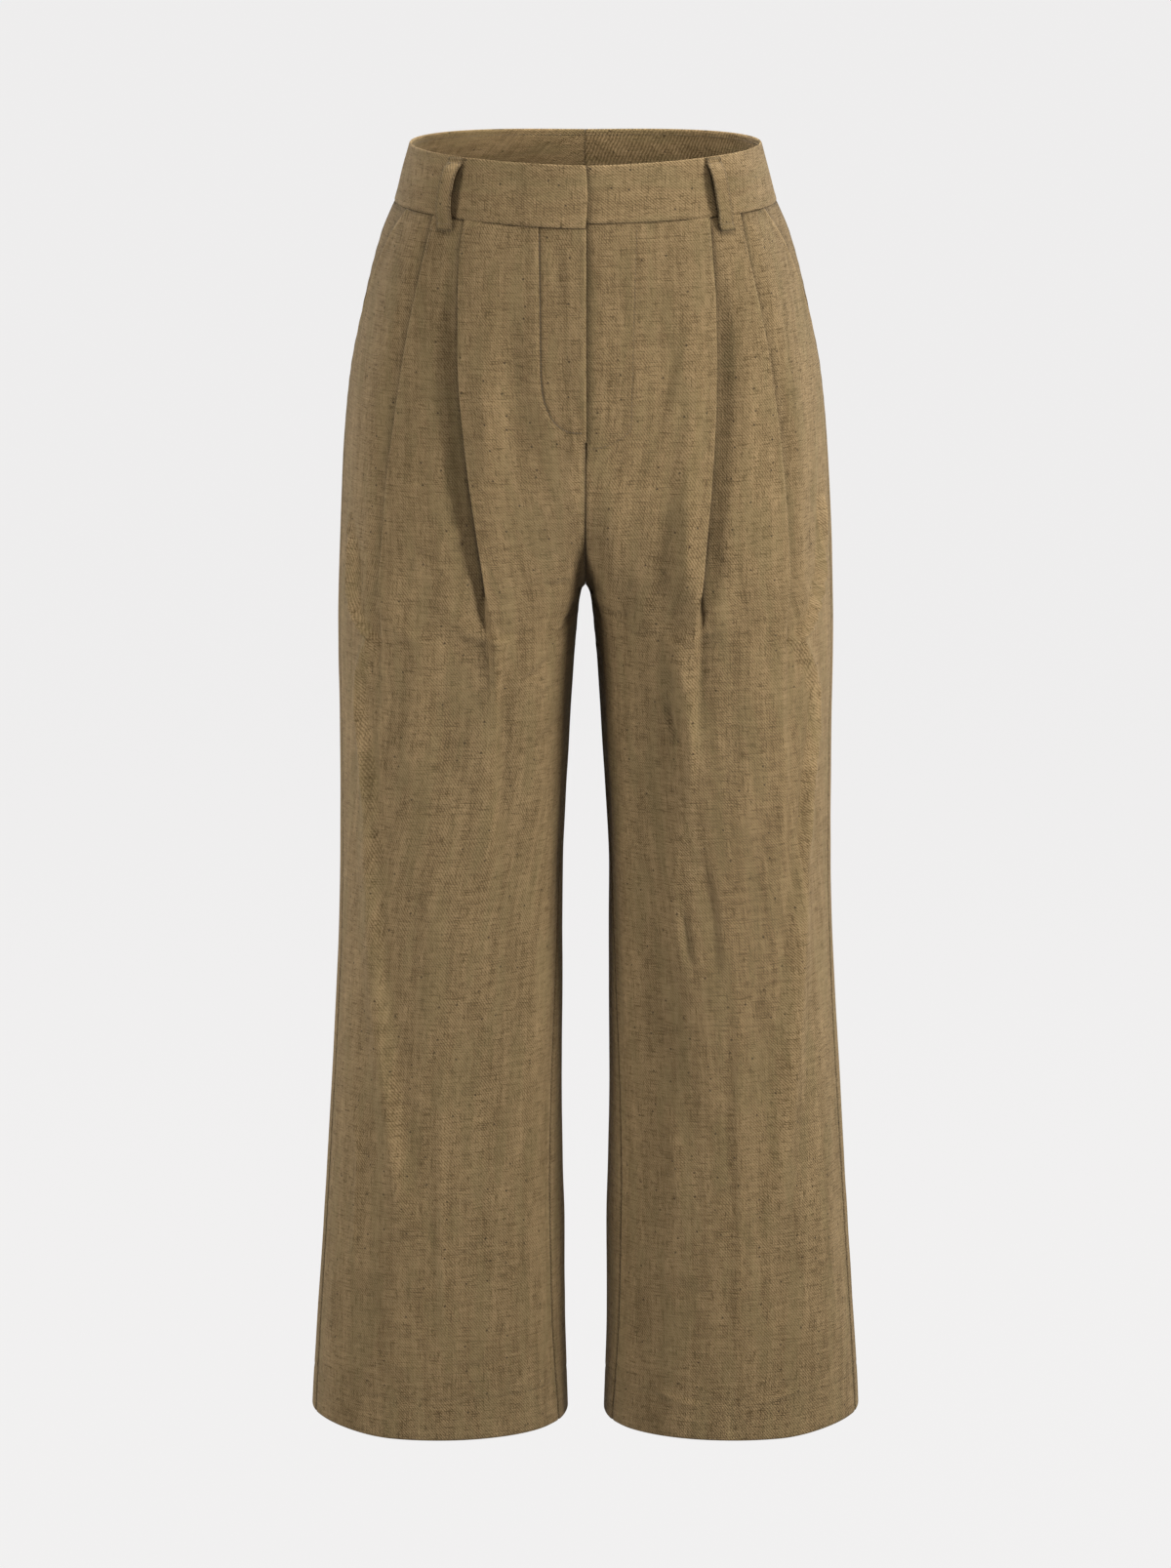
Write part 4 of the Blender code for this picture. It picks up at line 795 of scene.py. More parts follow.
def sink_across(rows, s, amount):
    """Moves edge points straight in from the surface, but never across the middle."""
    out = []
    for row, length, depth_in in zip(rows, s, amount):
        n = np.stack([np.interp(length, row.length, row.normal[:, k]) for k in range(3)], -1)
        n[:, 0] = 0.0
        n /= np.maximum(np.linalg.norm(n, axis=-1, keepdims=True), 1e-9)
        out.append(-n * depth_in[:, None])
    return np.array(out)


def dark_line(distance, width, amount):
    """Tone of a fine shaded line, amount below 1 at its middle."""
    return -amount * np.exp(-(np.abs(distance) / (width * MM)) ** 1.6)


def close_middle(points, from_edge, clearance):
    """Draws the columns by the middle up to it, so that the seam there is shut."""
    off = points[..., 0] - clearance
    pull = off[..., :1] if from_edge[0, 0] < from_edge[0, -1] else off[..., -1:]
    return points[..., 0] - pull * np.exp(-(from_edge / (2.2 * MM)) ** 2)


LOOP_WIDTH = 13 * MM
LOOP_COLUMNS = ("node", "side", "u_top", "u_bottom", "half", "lean")
LOOP_ROWS = (
    ("belt_loop_front_right", "right", 0.0945, 0.1030, "front", 0.0007),
    ("belt_loop_front_left", "left", 0.0935, 0.1035, "front", -0.0006),
    ("belt_loop_back_right", "right", 0.1030, 0.1130, "back", 0.0004),
    ("belt_loop_back_left", "left", 0.1030, 0.1130, "back", -0.0003),
    ("belt_loop_back_centre", "left", 0.0000, 0.0000, "back", 0.0),
)
LOOP_SPAN = {"front": (-0.0292, 0.0238), "back": (-0.0292, 0.0188)}


def loop_contact(side, half, x, z, reach=0.6 * MM):
    """Painted shadow on the cloth that a belt loop covers or stands beside (x and z arrays)."""
    tone = np.zeros_like(x)
    for node, owner, u_top, u_bottom, loop_half, _ in LOOP_ROWS:
        if loop_half != half or (owner != side and u_top > 0):
            continue
        lo, hi = LOOP_SPAN[half]
        u = u_bottom + (u_top - u_bottom) * np.clip((z - lo) / (hi - lo), 0, 1)
        slant = 0.80 if u_top > 0 else 1.0
        d = np.abs(x - u) / (slant * (LOOP_WIDTH / 2 + reach))
        high = np.clip((lo - 0.5 * MM - z) / (1.2 * MM), 0, None)
        tone -= 0.42 * np.exp(-d ** 9) * np.exp(-high ** 2) * (z < hi + 0.5 * MM)
    return tone


SHADE = {"inner": 0.25, "outer": 0.15}   # tone of the sunk cloth beside each pleat


def front_panel(side):
    panel = "front_" + side
    line = {w: pleat_line(side, w) for w in ("inner", "outer")}
    s_all, n_all, z_all, tex, rows, lead_edge, tones = [], [], [], [], [], [], []
    thick, sink_start, lead_in = [], [], []
    for kind, value in PANEL_ROWS:
        height = below_seam(side, value) if kind == "seam" else row_height(value)
        z_side = float(height(0.5))
        row = Row(height, -0.08, 0.56)
        z_front = float(height(0.0))
        below = z_front < CROTCH_Z + 0.1 * MM
        lapped = float(smooth((z_side - (FLY_END_Z - 5 * MM)) / (3 * MM)))
        start = 0.10 * MM if below else 0.0
        if side == "left":
            start = start - 8 * MM * lapped
        else:
            start = start - 0.7 * MM * lapped
        seam = row.length_at(0.5) - 0.05 * MM
        inset = POCKET_TOP_INSET * max(0.0, (z_side - POCKET_END_Z)
                                       / (SEAM_Z[side]["side"] - POCKET_END_Z))
        end = seam - inset
        spread = float(smooth((-0.345 - z_side) / 0.24))
        folded = float(1 - smooth((UNFOLD_Z[0] - z_side) / (UNFOLD_Z[0] - UNFOLD_Z[1])))
        edge, shape = {}, {}
        for which in ("inner", "outer"):
            edge[which] = row.where_u(line[which])
            shape[which] = [depth(side, which, k, z_side)
                            for k in ("overlap", "rise", "sink", "trough")]
        o0, o1 = shape["inner"][0] * folded, shape["outer"][0] * folded
        stitch_z = max(z_side, -0.150)
        stitch = row.where_u(lambda zz, u=float(through(J_Z, J_U, stitch_z)): zz * 0 + u)
        lead = edge["inner"] - o0 - FOLD_LEAD
        seg_a = np.concatenate([
            start + np.array([0.0, 0.35, 0.9, 1.9]) * MM,
            np.linspace(start + 3.4 * MM, stitch - 4.2 * MM, 15),
            stitch + np.linspace(-3.2, 3.2, 13) * MM,
            np.linspace(stitch + 4.2 * MM, lead, 19)[:-1]])
        f0 = fold_curve(shape["inner"][0], shape["inner"][1], shape["inner"][2], folded)
        b0 = edge["inner"] + FOLD_TAIL
        b1 = edge["outer"] - o1 - FOLD_LEAD
        seg_b = np.linspace(b0, b1, 12)[1:-1]
        f1 = fold_curve(shape["outer"][0], shape["outer"][1], shape["outer"][2], folded)
        seg_c = edge_cluster(edge["outer"] + FOLD_TAIL, end, 17, False, True)[1:]
        s = np.concatenate([seg_a, edge["inner"] + f0[0], seg_b, edge["outer"] + f1[0], seg_c])
        n = np.concatenate([np.zeros_like(seg_a), f0[1], np.zeros_like(seg_b), f1[1],
                            np.zeros_like(seg_c)])
        owner = np.concatenate([np.full(len(seg_a), -1), np.full(len(f0[0]), 0),
                                np.full(len(seg_b), -1), np.full(len(f1[0]), 1),
                                np.full(len(seg_c), -1)])
        # tone along a fold: painted highlight on its edge, painted shadow under and just beyond it
        tone = np.zeros_like(s)
        for k, (f, start_of) in enumerate(((f0, len(seg_a)), (f1, len(seg_a) + len(f0[0]) + len(seg_b)))):
            over = shape[("inner", "outer")[k]][0] * folded
            crisp = float(smooth(over / (1.5 * MM)))
            wide = ((1.5, 2.6)[k] if side == "right" else (2.3, 2.8)[k]) * float(
                through((-0.30, -0.20, -0.10, -0.02), (0.8, 1.4, 1.3, 0.95), z_side))
            tip = int(np.argmax(f[0][:14]))
            cols = np.arange(len(f[0]))
            fold_tone = np.where(cols <= tip, 0.10 * np.exp(-((f[0] - f[0][tip]) / (1.6 * MM)) ** 2),
                                 np.where(f[0] < 0.4 * MM, -0.64,
                                          -0.64 * np.exp(-((f[0] - 0.4 * MM) / (wide * MM)) ** 1.5)))
            tone[start_of:start_of + len(cols)] = fold_tone * crisp * (1.18 if k == 0 else 1.0)
        for k, which in enumerate(("inner", "outer")):
            over, rise, sink, trough = shape[which]
            over *= folded
            e = edge[which]
            d = s - e
            before = rise * (1 - smooth((-d - over - FOLD_LEAD) / (22 * MM)))
            after = -sink * (1 - smooth((d - FOLD_TAIL) / max(trough, 4 * MM)))
            n = n + np.where(owner == k, 0.0, np.where(d < 0, before, after))
        even = edge_cluster(start, end, len(s), True, True)
        # the pleat's own soft step stays in place while its columns even out
        s_out = s + (even - s) * spread
        if folded < 0.02:
            n_out = np.interp(s_out, s, n)
        else:
            n_out = n
        s, n = s_out, n_out
        # the sunk cloth beside each fold holds a broad soft shade
        for which in ("inner", "outer"):
            over, rise, sink, trough = shape[which]
            d = s - edge[which]
            tone += np.where((d > 0.3 * MM) & (tone > -0.4),
                             -SHADE[which] * min(1.0, sink / (4 * MM)) * np.exp(
                                 -(d / (0.95 * max(trough, 1 * MM))) ** 2), 0.0)
        # distance of each column from the two edges
        from_start, to_end = s - start, end - s
        roll_start = 1.15 * MM * np.exp(-(from_start / (0.75 * MM)) ** 1.4)
        if side == "right":
            roll_start = roll_start * (1 - 0.35 * lapped)
        if side == "left":
            roll_start = roll_start * (1 - lapped)
        roll_end = (1.15 if inset <= 0 else 0.75) * MM * np.exp(-(to_end / (0.75 * MM)) ** 1.4)
        n = n - (roll_start if below else 0.0) - roll_end
        sink_start.append(np.zeros_like(s) if below else roll_start)
        # fly lap: painted highlight on the lapped edge with a faint painted shade line inboard, painted
        # shadow on the under side beside it
        strength = float(smooth((z_side - (FLY_END_Z - 0.022)) / 0.012))
        if side == "right":
            n = n + 1.9 * MM * strength * (1 - smooth((s - 7 * MM) / (16 * MM)))
            n = n + 0.45 * MM * lapped * np.exp(-((from_start - 1.6 * MM) / (1.5 * MM)) ** 2)
            tone += 0.10 * lapped * np.exp(-((from_start - 1.2 * MM) / (1.2 * MM)) ** 2)
            tone += dark_line(from_start - 5.0 * MM, 1.6, 0.07 * lapped)
        else:
            n = n - 1.2 * MM * strength * (1 - smooth((s - 1 * MM) / (13 * MM)))
            tone += dark_line(np.maximum(s - 0.6 * MM, 0.0), 2.0, 0.66 * lapped)
        # seams: the stitch line sits dark between the two rolled edges, with a faint painted highlight on
        # the rolled edge; the pocket's free edge gets a painted highlight and a faint painted shade line
        # inboard
        tone += dark_line(from_start, 1.15, (0.68 if below else 0.46) * (1 - lapped))
        tone += 0.07 * (1 - lapped) * np.exp(-((from_start - 3.0 * MM) / (1.2 * MM)) ** 2)
        tone += dark_line(to_end, 2.0, 0.62) if inset <= 0 else 0.26 * np.exp(
            -((to_end - 1.0 * MM) / (2.6 * MM)) ** 2)
        if inset > 0:
            tone += dark_line(to_end - 8.0 * MM, 3.0, 0.10)
        # painted shade on the cloth just under the waistband
        if kind == "seam":
            tone += -0.42 * math.exp(-(value / 0.035) ** 1.5)
        # pocket opening stands a little off the facing
        if inset > 0:
            n = n + 1.0 * MM * float(smooth(inset / (6 * MM))) * np.exp(-(to_end / (6 * MM)) ** 2)
        # waist seam rolls in at the top edge
        if kind == "seam":
            n = n - 0.85 * MM * math.exp(-(value / 0.030) ** 1.3)
        roll, wall = hem_shape(z_side)
        n = n + roll
        s_all.append(s)
        n_all.append(n)
        z_all.append(np.interp(s, row.length, row.z))
        rows.append(row)
        thick.append(np.full(len(s), wall) + 0.8 * MM * lapped * np.exp(-(from_start / (4 * MM)) ** 4)
                     + (0.7 * MM * np.exp(-(to_end / (9 * MM)) ** 4) if inset > 0 else 0.0))
        arc = np.concatenate([[0.0], np.cumsum(np.hypot(np.diff(s), np.diff(n)))])
        tex.append(arc - arc[len(arc) // 2])
        lead_edge.append(np.minimum(from_start, to_end))
        lead_in.append(from_start)
        tones.append(tone)
    s, n, z = np.array(s_all), np.array(n_all), np.array(z_all)
    inset_fade = smooth(np.array(lead_edge) / (9 * MM))
    top_fade = smooth((-0.020 - z) / 0.030)
    extra, crease_tone = crease_height(panel, s, z)
    extra += cloth_life(s, z, 11 if side == "right" else 47) * (0.35 + 0.65 * smooth(
        (-0.10 - z) / 0.2)) * smooth((z - HEM_Z) / 0.004 + 0.4)
    # cloth between the close stitches of a seam is drawn in slightly
    pucker = 0.16 * MM * np.sin(2 * math.pi * z / 0.0145 + 2.2 * lattice(
        s * 0 + 0.01, z, 0.02, 0.03, 5)) * np.exp(-((np.array(lead_edge) - 5 * MM) / (4 * MM)) ** 2)
    n = n + extra * inset_fade * top_fade + pucker * smooth((-0.19 - z) / 0.02)
    hem_line = HEM_Z + HEM_DEPTH
    n = n - 0.30 * MM * np.exp(-((z - hem_line) / (1.6 * MM)) ** 2)
    tone = np.array(tones) + crease_tone * inset_fade
    # painted shade in the valleys of the fly's stitch rows
    stitched = np.zeros_like(tone)
    line_lift("front", J_POINTS if side == "right" else SHIELD_POINTS, 1.15,
              -1.2 if side == "right" else -0.8, 0.0, 4, s, z, n, stitched, 0.32)
    if side == "left":
        # the shield's row only shows where it turns in below the lap
        stitched *= smooth((-0.140 - z) / 0.02)
    else:
        # cloth swells a little on both sides of the row
        line_lift("front", [(u + 4.5, w) for u, w in J_POINTS], 2.6, 0.5, 0.0, 12, s, z, n)
    tone += stitched
    tone += dark_line(z - hem_line, 1.2, 0.10)
    points = np.array([row.at(a, b) for row, a, b in zip(rows, s, n)])
    tone += loop_contact(side, "front", points[..., 0], points[..., 2])
    points += sink_across(rows, s, np.array(sink_start))
    points[..., 2] += hem_rise(points[..., 0], z)
    lead_in = np.array(lead_in)
    joined = smooth((FLY_END_Z - 5 * MM - z) / (3 * MM)) * (z > CROTCH_Z - 0.0005)
    shut = close_middle(points, lead_in, 0.04 * MM)
    points[..., 0] += (shut - points[..., 0]) * joined
    points[..., 0] = np.where(joined > 0.5, np.maximum(points[..., 0], 0.04 * MM), points[..., 0])
    inside = walls(points, np.array(thick))
    inside[..., 0] = np.where(joined > 0.5, np.maximum(inside[..., 0], 0.04 * MM), inside[..., 0])
    uv = np.stack([np.array(tex), z], -1)
    obj = shell("trouser_" + panel, points, inside, uv, side == "right", 1 + tone)
    return obj, dict(points=points, s=s, z=z, rows=rows, normals=face_normals(points),
                     mirror=side == "right")


BACK_COUNT = 88
BACK_SEAM = {"left": -0.25 * MM, "right": 0.29 * MM}   # the centre-back seam sits just off middle


def back_panel(side):
    panel = "back_" + side
    s_all, n_all, z_all, tex, rows, thick, edges, sink_end = [], [], [], [], [], [], [], []
    tones, to_middle = [], []
    for kind, value in PANEL_ROWS:
        height = below_seam(side, value) if kind == "seam" else row_height(value)
        z_side = float(height(0.5))
        row = Row(height, 0.44, 1.0)
        row.length -= row.length_at(0.5)
        end = row.length_at(1.0) - 0.02 * MM
        start = 0.05 * MM
        s = edge_cluster(start, end, BACK_COUNT, True, True)
        from_start, to_end = s - start, end - s
        n = -1.15 * MM * np.exp(-(from_start / (0.75 * MM)) ** 1.4)
        roll_end = 1.15 * MM * np.exp(-(to_end / (0.75 * MM)) ** 1.4)
        below = float(height(1.0)) < CROTCH_Z + 0.1 * MM
        n = n - (roll_end if below else 0.0)
        sink_end.append(np.zeros_like(s) if below else roll_end)
        if kind == "seam":
            n = n - 0.85 * MM * math.exp(-(value / 0.030) ** 1.3)
        roll, wall = hem_shape(z_side)
        n = n + roll
        tone = dark_line(from_start, 2.0, 0.62) + dark_line(to_end, 1.15, 0.68 if below else 0.50)
        # painted shade on the cloth just under the waistband
        if kind == "seam":
            tone += -0.42 * math.exp(-(value / 0.035) ** 1.5)
        tones.append(tone)
        to_middle.append(to_end)
        s_all.append(s)
        n_all.append(n)
        z_all.append(np.interp(s, row.length, row.z))
        rows.append(row)
        thick.append(np.full(len(s), wall))
        tex.append(s - s[len(s) // 2])
        edges.append(np.minimum(from_start, to_end))
    s, n, z = np.array(s_all), np.array(n_all), np.array(z_all)
    edges = np.array(edges)
    extra, crease_tone = crease_height(panel, s, z)
    extra += cloth_life(s, z, 83 if side == "right" else 131) * (0.35 + 0.65 * smooth(
        (-0.10 - z) / 0.2)) * smooth((z - HEM_Z) / 0.004 + 0.4)
    pucker = 0.16 * MM * np.sin(2 * math.pi * z / 0.0145 + 2.2 * lattice(
        s * 0 + 0.05, z, 0.02, 0.03, 5)) * np.exp(-((edges - 5 * MM) / (4 * MM)) ** 2)
    n = n + extra * smooth(edges / (9 * MM)) * smooth((-0.020 - z) / 0.030) + pucker
    dart, dart_tone = dart_height(s, z, side)
    n = n + dart
    hem_line = HEM_Z + HEM_DEPTH
    tone = np.array(tones) + crease_tone * smooth(edges / (9 * MM)) + dart_tone
    tone += dark_line(z - hem_line, 1.2, 0.07)
    n = n - 0.30 * MM * np.exp(-((z - hem_line) / (1.6 * MM)) ** 2)
    points = np.array([row.at(a, b) for row, a, b in zip(rows, s, n)])
    points += sink_across(rows, s, np.array(sink_end))
    points[..., 2] += hem_rise(points[..., 0], z)
    joined = smooth((z - CROTCH_Z + 0.0005) / 0.0004)
    shut = close_middle(points, np.array(to_middle), BACK_SEAM[side])
    points[..., 0] += (shut - points[..., 0]) * joined
    least = np.where(joined > 0.5, BACK_SEAM[side], 0.04 * MM)
    points[..., 0] = np.maximum(points[..., 0], least)
    inside = walls(points, np.array(thick))
    inside[..., 0] = np.where(joined > 0.5, np.maximum(inside[..., 0], least), inside[..., 0])
    uv = np.stack([np.array(tex) + 0.5, z], -1)
    obj = shell("trouser_" + panel, points, inside, uv, side == "right", 1 + tone)
    return obj, dict(points=points, s=s, z=z, rows=rows, normals=face_normals(points),
                     mirror=side == "right")


DART_TOP = (0.072, -0.019)   # u, z at the waist seam
DART_TIP = (0.078, -0.118)


def dart_height(s, z, side):
    """Sewn dart in each back: a fine valley with the cloth full on both sides, and painted shade in the
    valley.
    """
    top, tip = place("back", *DART_TOP), place("back", *DART_TIP)
    t = (DART_TOP[1] - z) / (DART_TOP[1] - DART_TIP[1])
    line = top + (tip - top) * np.clip(t, 0, 1)
    d = np.abs(s - line)
    alive = smooth((1.0 - t) / 0.12) * (t > -0.2)
    return ((-1.1 * MM * np.exp(-(d / (1.3 * MM)) ** 1.6)
             + 0.35 * MM * np.exp(-((d - 5 * MM) / (4 * MM)) ** 2)) * alive,
            -0.38 * np.exp(-(d / (1.2 * MM)) ** 1.6) * alive)


built = {}
for side in ("left", "right"):
    built["front_" + side] = front_panel(side)
    built["back_" + side] = back_panel(side)


# ================================================================== waistband
def waistband(side):
    ts = np.concatenate([[0.0, 0.008, 0.025, 0.06], np.linspace(0.11, 0.90, 16),
                         [0.945, 0.972, 0.988, 0.996, 1.0]])
    outside, inside, uvs, zs, tones, inner_tones = [], [], [], [], [], []
    for t in ts:
        def height(share, t=t):
            low = ring_height(SEAM_Z[side], share) + 0.05 * MM
            return low + (ring_height(TOP_Z, share) - low) * t
        row = Row(height, -0.16, 1.0, 420)
        end = row.length_at(1.0) - 0.04 * MM
        if side == "right":
            bow = -1.6 * MM * math.sin(math.pi * min(max(t, 0), 1)) - 0.2 * MM
            s = edge_cluster(bow, end, 190, True, True)
            n = 0.5 * MM + 1.5 * MM * (1 - smooth((s - 40 * MM) / (15 * MM)))
            free = s - bow
            n = n + 0.35 * MM * np.exp(-((free - 1.6 * MM) / (1.5 * MM)) ** 2)
        else:
            s = edge_cluster(-BAND_LAP, end, 200, True, True)
            n = 0.5 * MM - 1.4 * MM * (1 - smooth((s - 1 * MM) / (13 * MM)))
            free = s + BAND_LAP
        roll = 0.95 * MM * np.exp(-(free / (0.75 * MM)) ** 1.4)
        roll += 0.50 * MM * np.exp(-((end - s) / (0.60 * MM)) ** 1.4)
        z = np.interp(s, row.length, row.z)
        # soft long ripples of a worn band, strongest half way up
        wave = (0.8 * MM * lattice(s, z, 0.034, 0.030, 201 if side == "right" else 233)
                + 0.35 * MM * lattice(s, z, 0.013, 0.020, 209 if side == "right" else 239))
        wave *= math.sin(math.pi * min(1.0, max(t, 0.0))) ** 0.8 * smooth(free / (12 * MM))
        wave *= smooth((end - s) / (12 * MM))
        edge = 0.42 * MM * (math.exp(-(t / 0.014) ** 1.3) + math.exp(-((1 - t) / 0.010) ** 1.3))
        n_out = n - roll + wave - edge
        wall = 1.7 * MM
        n_in = n - wall + roll * 0.3 + wave * 0.8 + edge + 0.5 * MM * np.exp(
            -((t - 0.03) / 0.03) ** 2) * 0
        out_p, in_p = row.at(s, n_out), row.at(s, n_in)
        # both halves meet at the centre back
        for p in (out_p, in_p):
            p[:, 0] -= (p[-1, 0] - BACK_SEAM[side]) * np.exp(-((end - s) / (2.2 * MM)) ** 2)
        outside.append(out_p)
        inside.append(in_p)
        # outside: darker at the centre-back seam, painted shade along the waist seam at the bottom edge,
        # painted highlight on the lapped end, painted shadow beside the lap and the belt loops, and a
        # little lighter along the top edge
        tone = dark_line(end - s, 0.8, 0.38) - 0.20 * math.exp(-(t / 0.020) ** 1.4)
        if side == "right":
            tone += 0.10 * np.exp(-((free - 1.2 * MM) / (1.2 * MM)) ** 2)
        else:
            tone += dark_line(np.maximum(s - 0.4 * MM, 0.0), 2.2, 0.66)
        front_half = out_p[:, 1] < 0
        tone += np.where(front_half, loop_contact(side, "front", out_p[:, 0], out_p[:, 2]),
                         loop_contact(side, "back", out_p[:, 0], out_p[:, 2]))
        tones.append(tone + 0.06 * math.exp(-((1 - t) / 0.03) ** 2))
        # inside: painted light lifting the whole inner face, the seam and the second row of stitches
        # beside it darker, and random painted shade of the soft dents of a worn band
        inner = 0.24 + dark_line(end - s, 1.0, 0.50) - 0.12 * math.exp(-(((1 - t) - 0.075) / 0.022) ** 2)
        inner = inner - 0.16 * np.exp(-((end - s - 4.6 * MM) / (0.9 * MM)) ** 2) * (side == "right")
        inner += 0.05 * lattice(s, z, 0.030, 0.012, 251 if side == "right" else 257)
        inner_tones.append(inner)
        uvs.append(np.stack([z * 1.0 + 0.3, s], -1))
        zs.append(z)
    outside, inside = np.array(outside)[::-1], np.array(inside)[::-1]
    uv = np.array(uvs)[::-1]
    obj = shell("trouser_waistband_" + side, outside, inside, uv, side == "right",
                1 + np.array(tones)[::-1], 1 + np.array(inner_tones)[::-1])
    return obj, dict(points=outside, inner=inside, normals=face_normals(outside),
                     mirror=side == "right")


for side in ("left", "right"):
    built["waistband_" + side] = waistband(side)


# ================================================================== fly shield, pocket facings
def fly_shield():
    heights = np.linspace(0.0, 1.0, 40)
    pts, uvs = [], []
    z_low = -0.186
    for q in heights:
        def height(share, q=q):
            top = ring_height(SEAM_Z["left"], share) - 0.3 * MM
            return top + (z_low - top) * q
        row = Row(height, -0.16, 0.3)
        reach = float(through((0.0, 0.80, 0.93, 1.0), (1.0, 0.97, 0.80, 0.45), q))
        s = np.linspace(-32 * MM * reach, 36 * MM * reach, 34)
        n = -2.6 * MM + 0.25 * MM * lattice(s, np.full_like(s, z_low * q), 0.02, 0.05, 301)
        pts.append(row.at(s, n))
        uvs.append(np.stack([s, np.full_like(s, z_low * q)], -1))
    pts = np.array(pts)
    obj = shell("trouser_fly_shield", pts, walls(pts, np.full(pts.shape[:2], 0.9 * MM)),
                np.array(uvs), False)
    return obj, dict(points=pts, normals=face_normals(pts), mirror=False)


def pocket_facing(side):
    pts, uvs, tones = [], [], []
    for q in np.linspace(0.0, 1.0, 52):
        def height(share, q=q):
            top = ring_height(SEAM_Z[side], share) - 0.1 * MM
            return top + (FACING_END_Z - top) * q
        row = Row(height, -0.08, 0.56)
        z_side = float(height(0.5))
        seam = row.length_at(0.5)
        inset = POCKET_TOP_INSET * max(0.0, (z_side - POCKET_END_Z)
                                       / (SEAM_Z[side]["side"] - POCKET_END_Z))
        edge = seam - max(inset, 5 * MM)
        under = edge - 10 * MM
        last = seam - (0.05 * MM if inset > 5 * MM else 1.2 * MM)
        visible = float(smooth((inset - 6 * MM) / (10 * MM)))
        s = np.concatenate([np.linspace(under, edge, 6)[:-1], edge_cluster(edge, last, 24,
                                                                           False, True)])
        rise = smooth((s - edge - 2 * MM) / max(inset - 3 * MM, 1 * MM)) * visible
        n = -1.9 * MM * (1 - rise)
        n -= 1.15 * MM * np.exp(-((last - s) / (0.75 * MM)) ** 1.4) * visible
        n += 0.3 * MM * lattice(s, np.full_like(s, z_side), 0.014, 0.03, 311) * rise * smooth(
            (last - s) / (8 * MM))
        if q < 0.05:
            n -= 0.85 * MM * math.exp(-(q / 0.012) ** 1.3)
        pts.append(row.at(s, n))
        # painted shade under the pocket's front edge and under the waistband, and a dark line at the side
        # seam
        tones.append(dark_line(np.maximum(s - edge, 0.0), 9.0, 0.50) + dark_line(last - s, 2.4, 0.58)
                     - 0.42 * math.exp(-(q / 0.018) ** 1.5))
        uvs.append(np.stack([s + 0.7, np.full_like(s, z_side)], -1))
    pts = np.array(pts)
    obj = shell("trouser_pocket_facing_" + side, pts,
                walls(pts, np.full(pts.shape[:2], CLOTH)), np.array(uvs), side == "right",
                1 + np.array(tones))
    return obj, dict(points=pts, normals=face_normals(pts), mirror=side == "right")


built["fly_shield"] = fly_shield()
for side in ("left", "right"):
    built["pocket_facing_" + side] = pocket_facing(side)

# ================================================================== belt loops
LOOP_PATH_COLUMNS = ("z", "off")
LOOP_PATH_ROWS = (
    (-0.0292, 0.0031), (-0.0280, 0.0034), (-0.0225, 0.0036), (-0.0165, 0.0058),
    (-0.0100, 0.0068), (-0.0010, 0.0072), (0.0070, 0.0070), (0.0140, 0.0056),
    (0.0185, 0.0028), (0.0205, 0.0017), (0.0232, 0.0020), (0.0238, 0.0018),
)


BACK_LOOP_PATH_ROWS = (
    (-0.0292, 0.0031), (-0.0280, 0.0034), (-0.0225, 0.0036), (-0.0165, 0.0058),
    (-0.0100, 0.0074), (-0.0010, 0.0080), (0.0050, 0.0076), (0.0100, 0.0058),
    (0.0135, 0.0028), (0.0155, 0.0017), (0.0182, 0.0020), (0.0188, 0.0018),
)


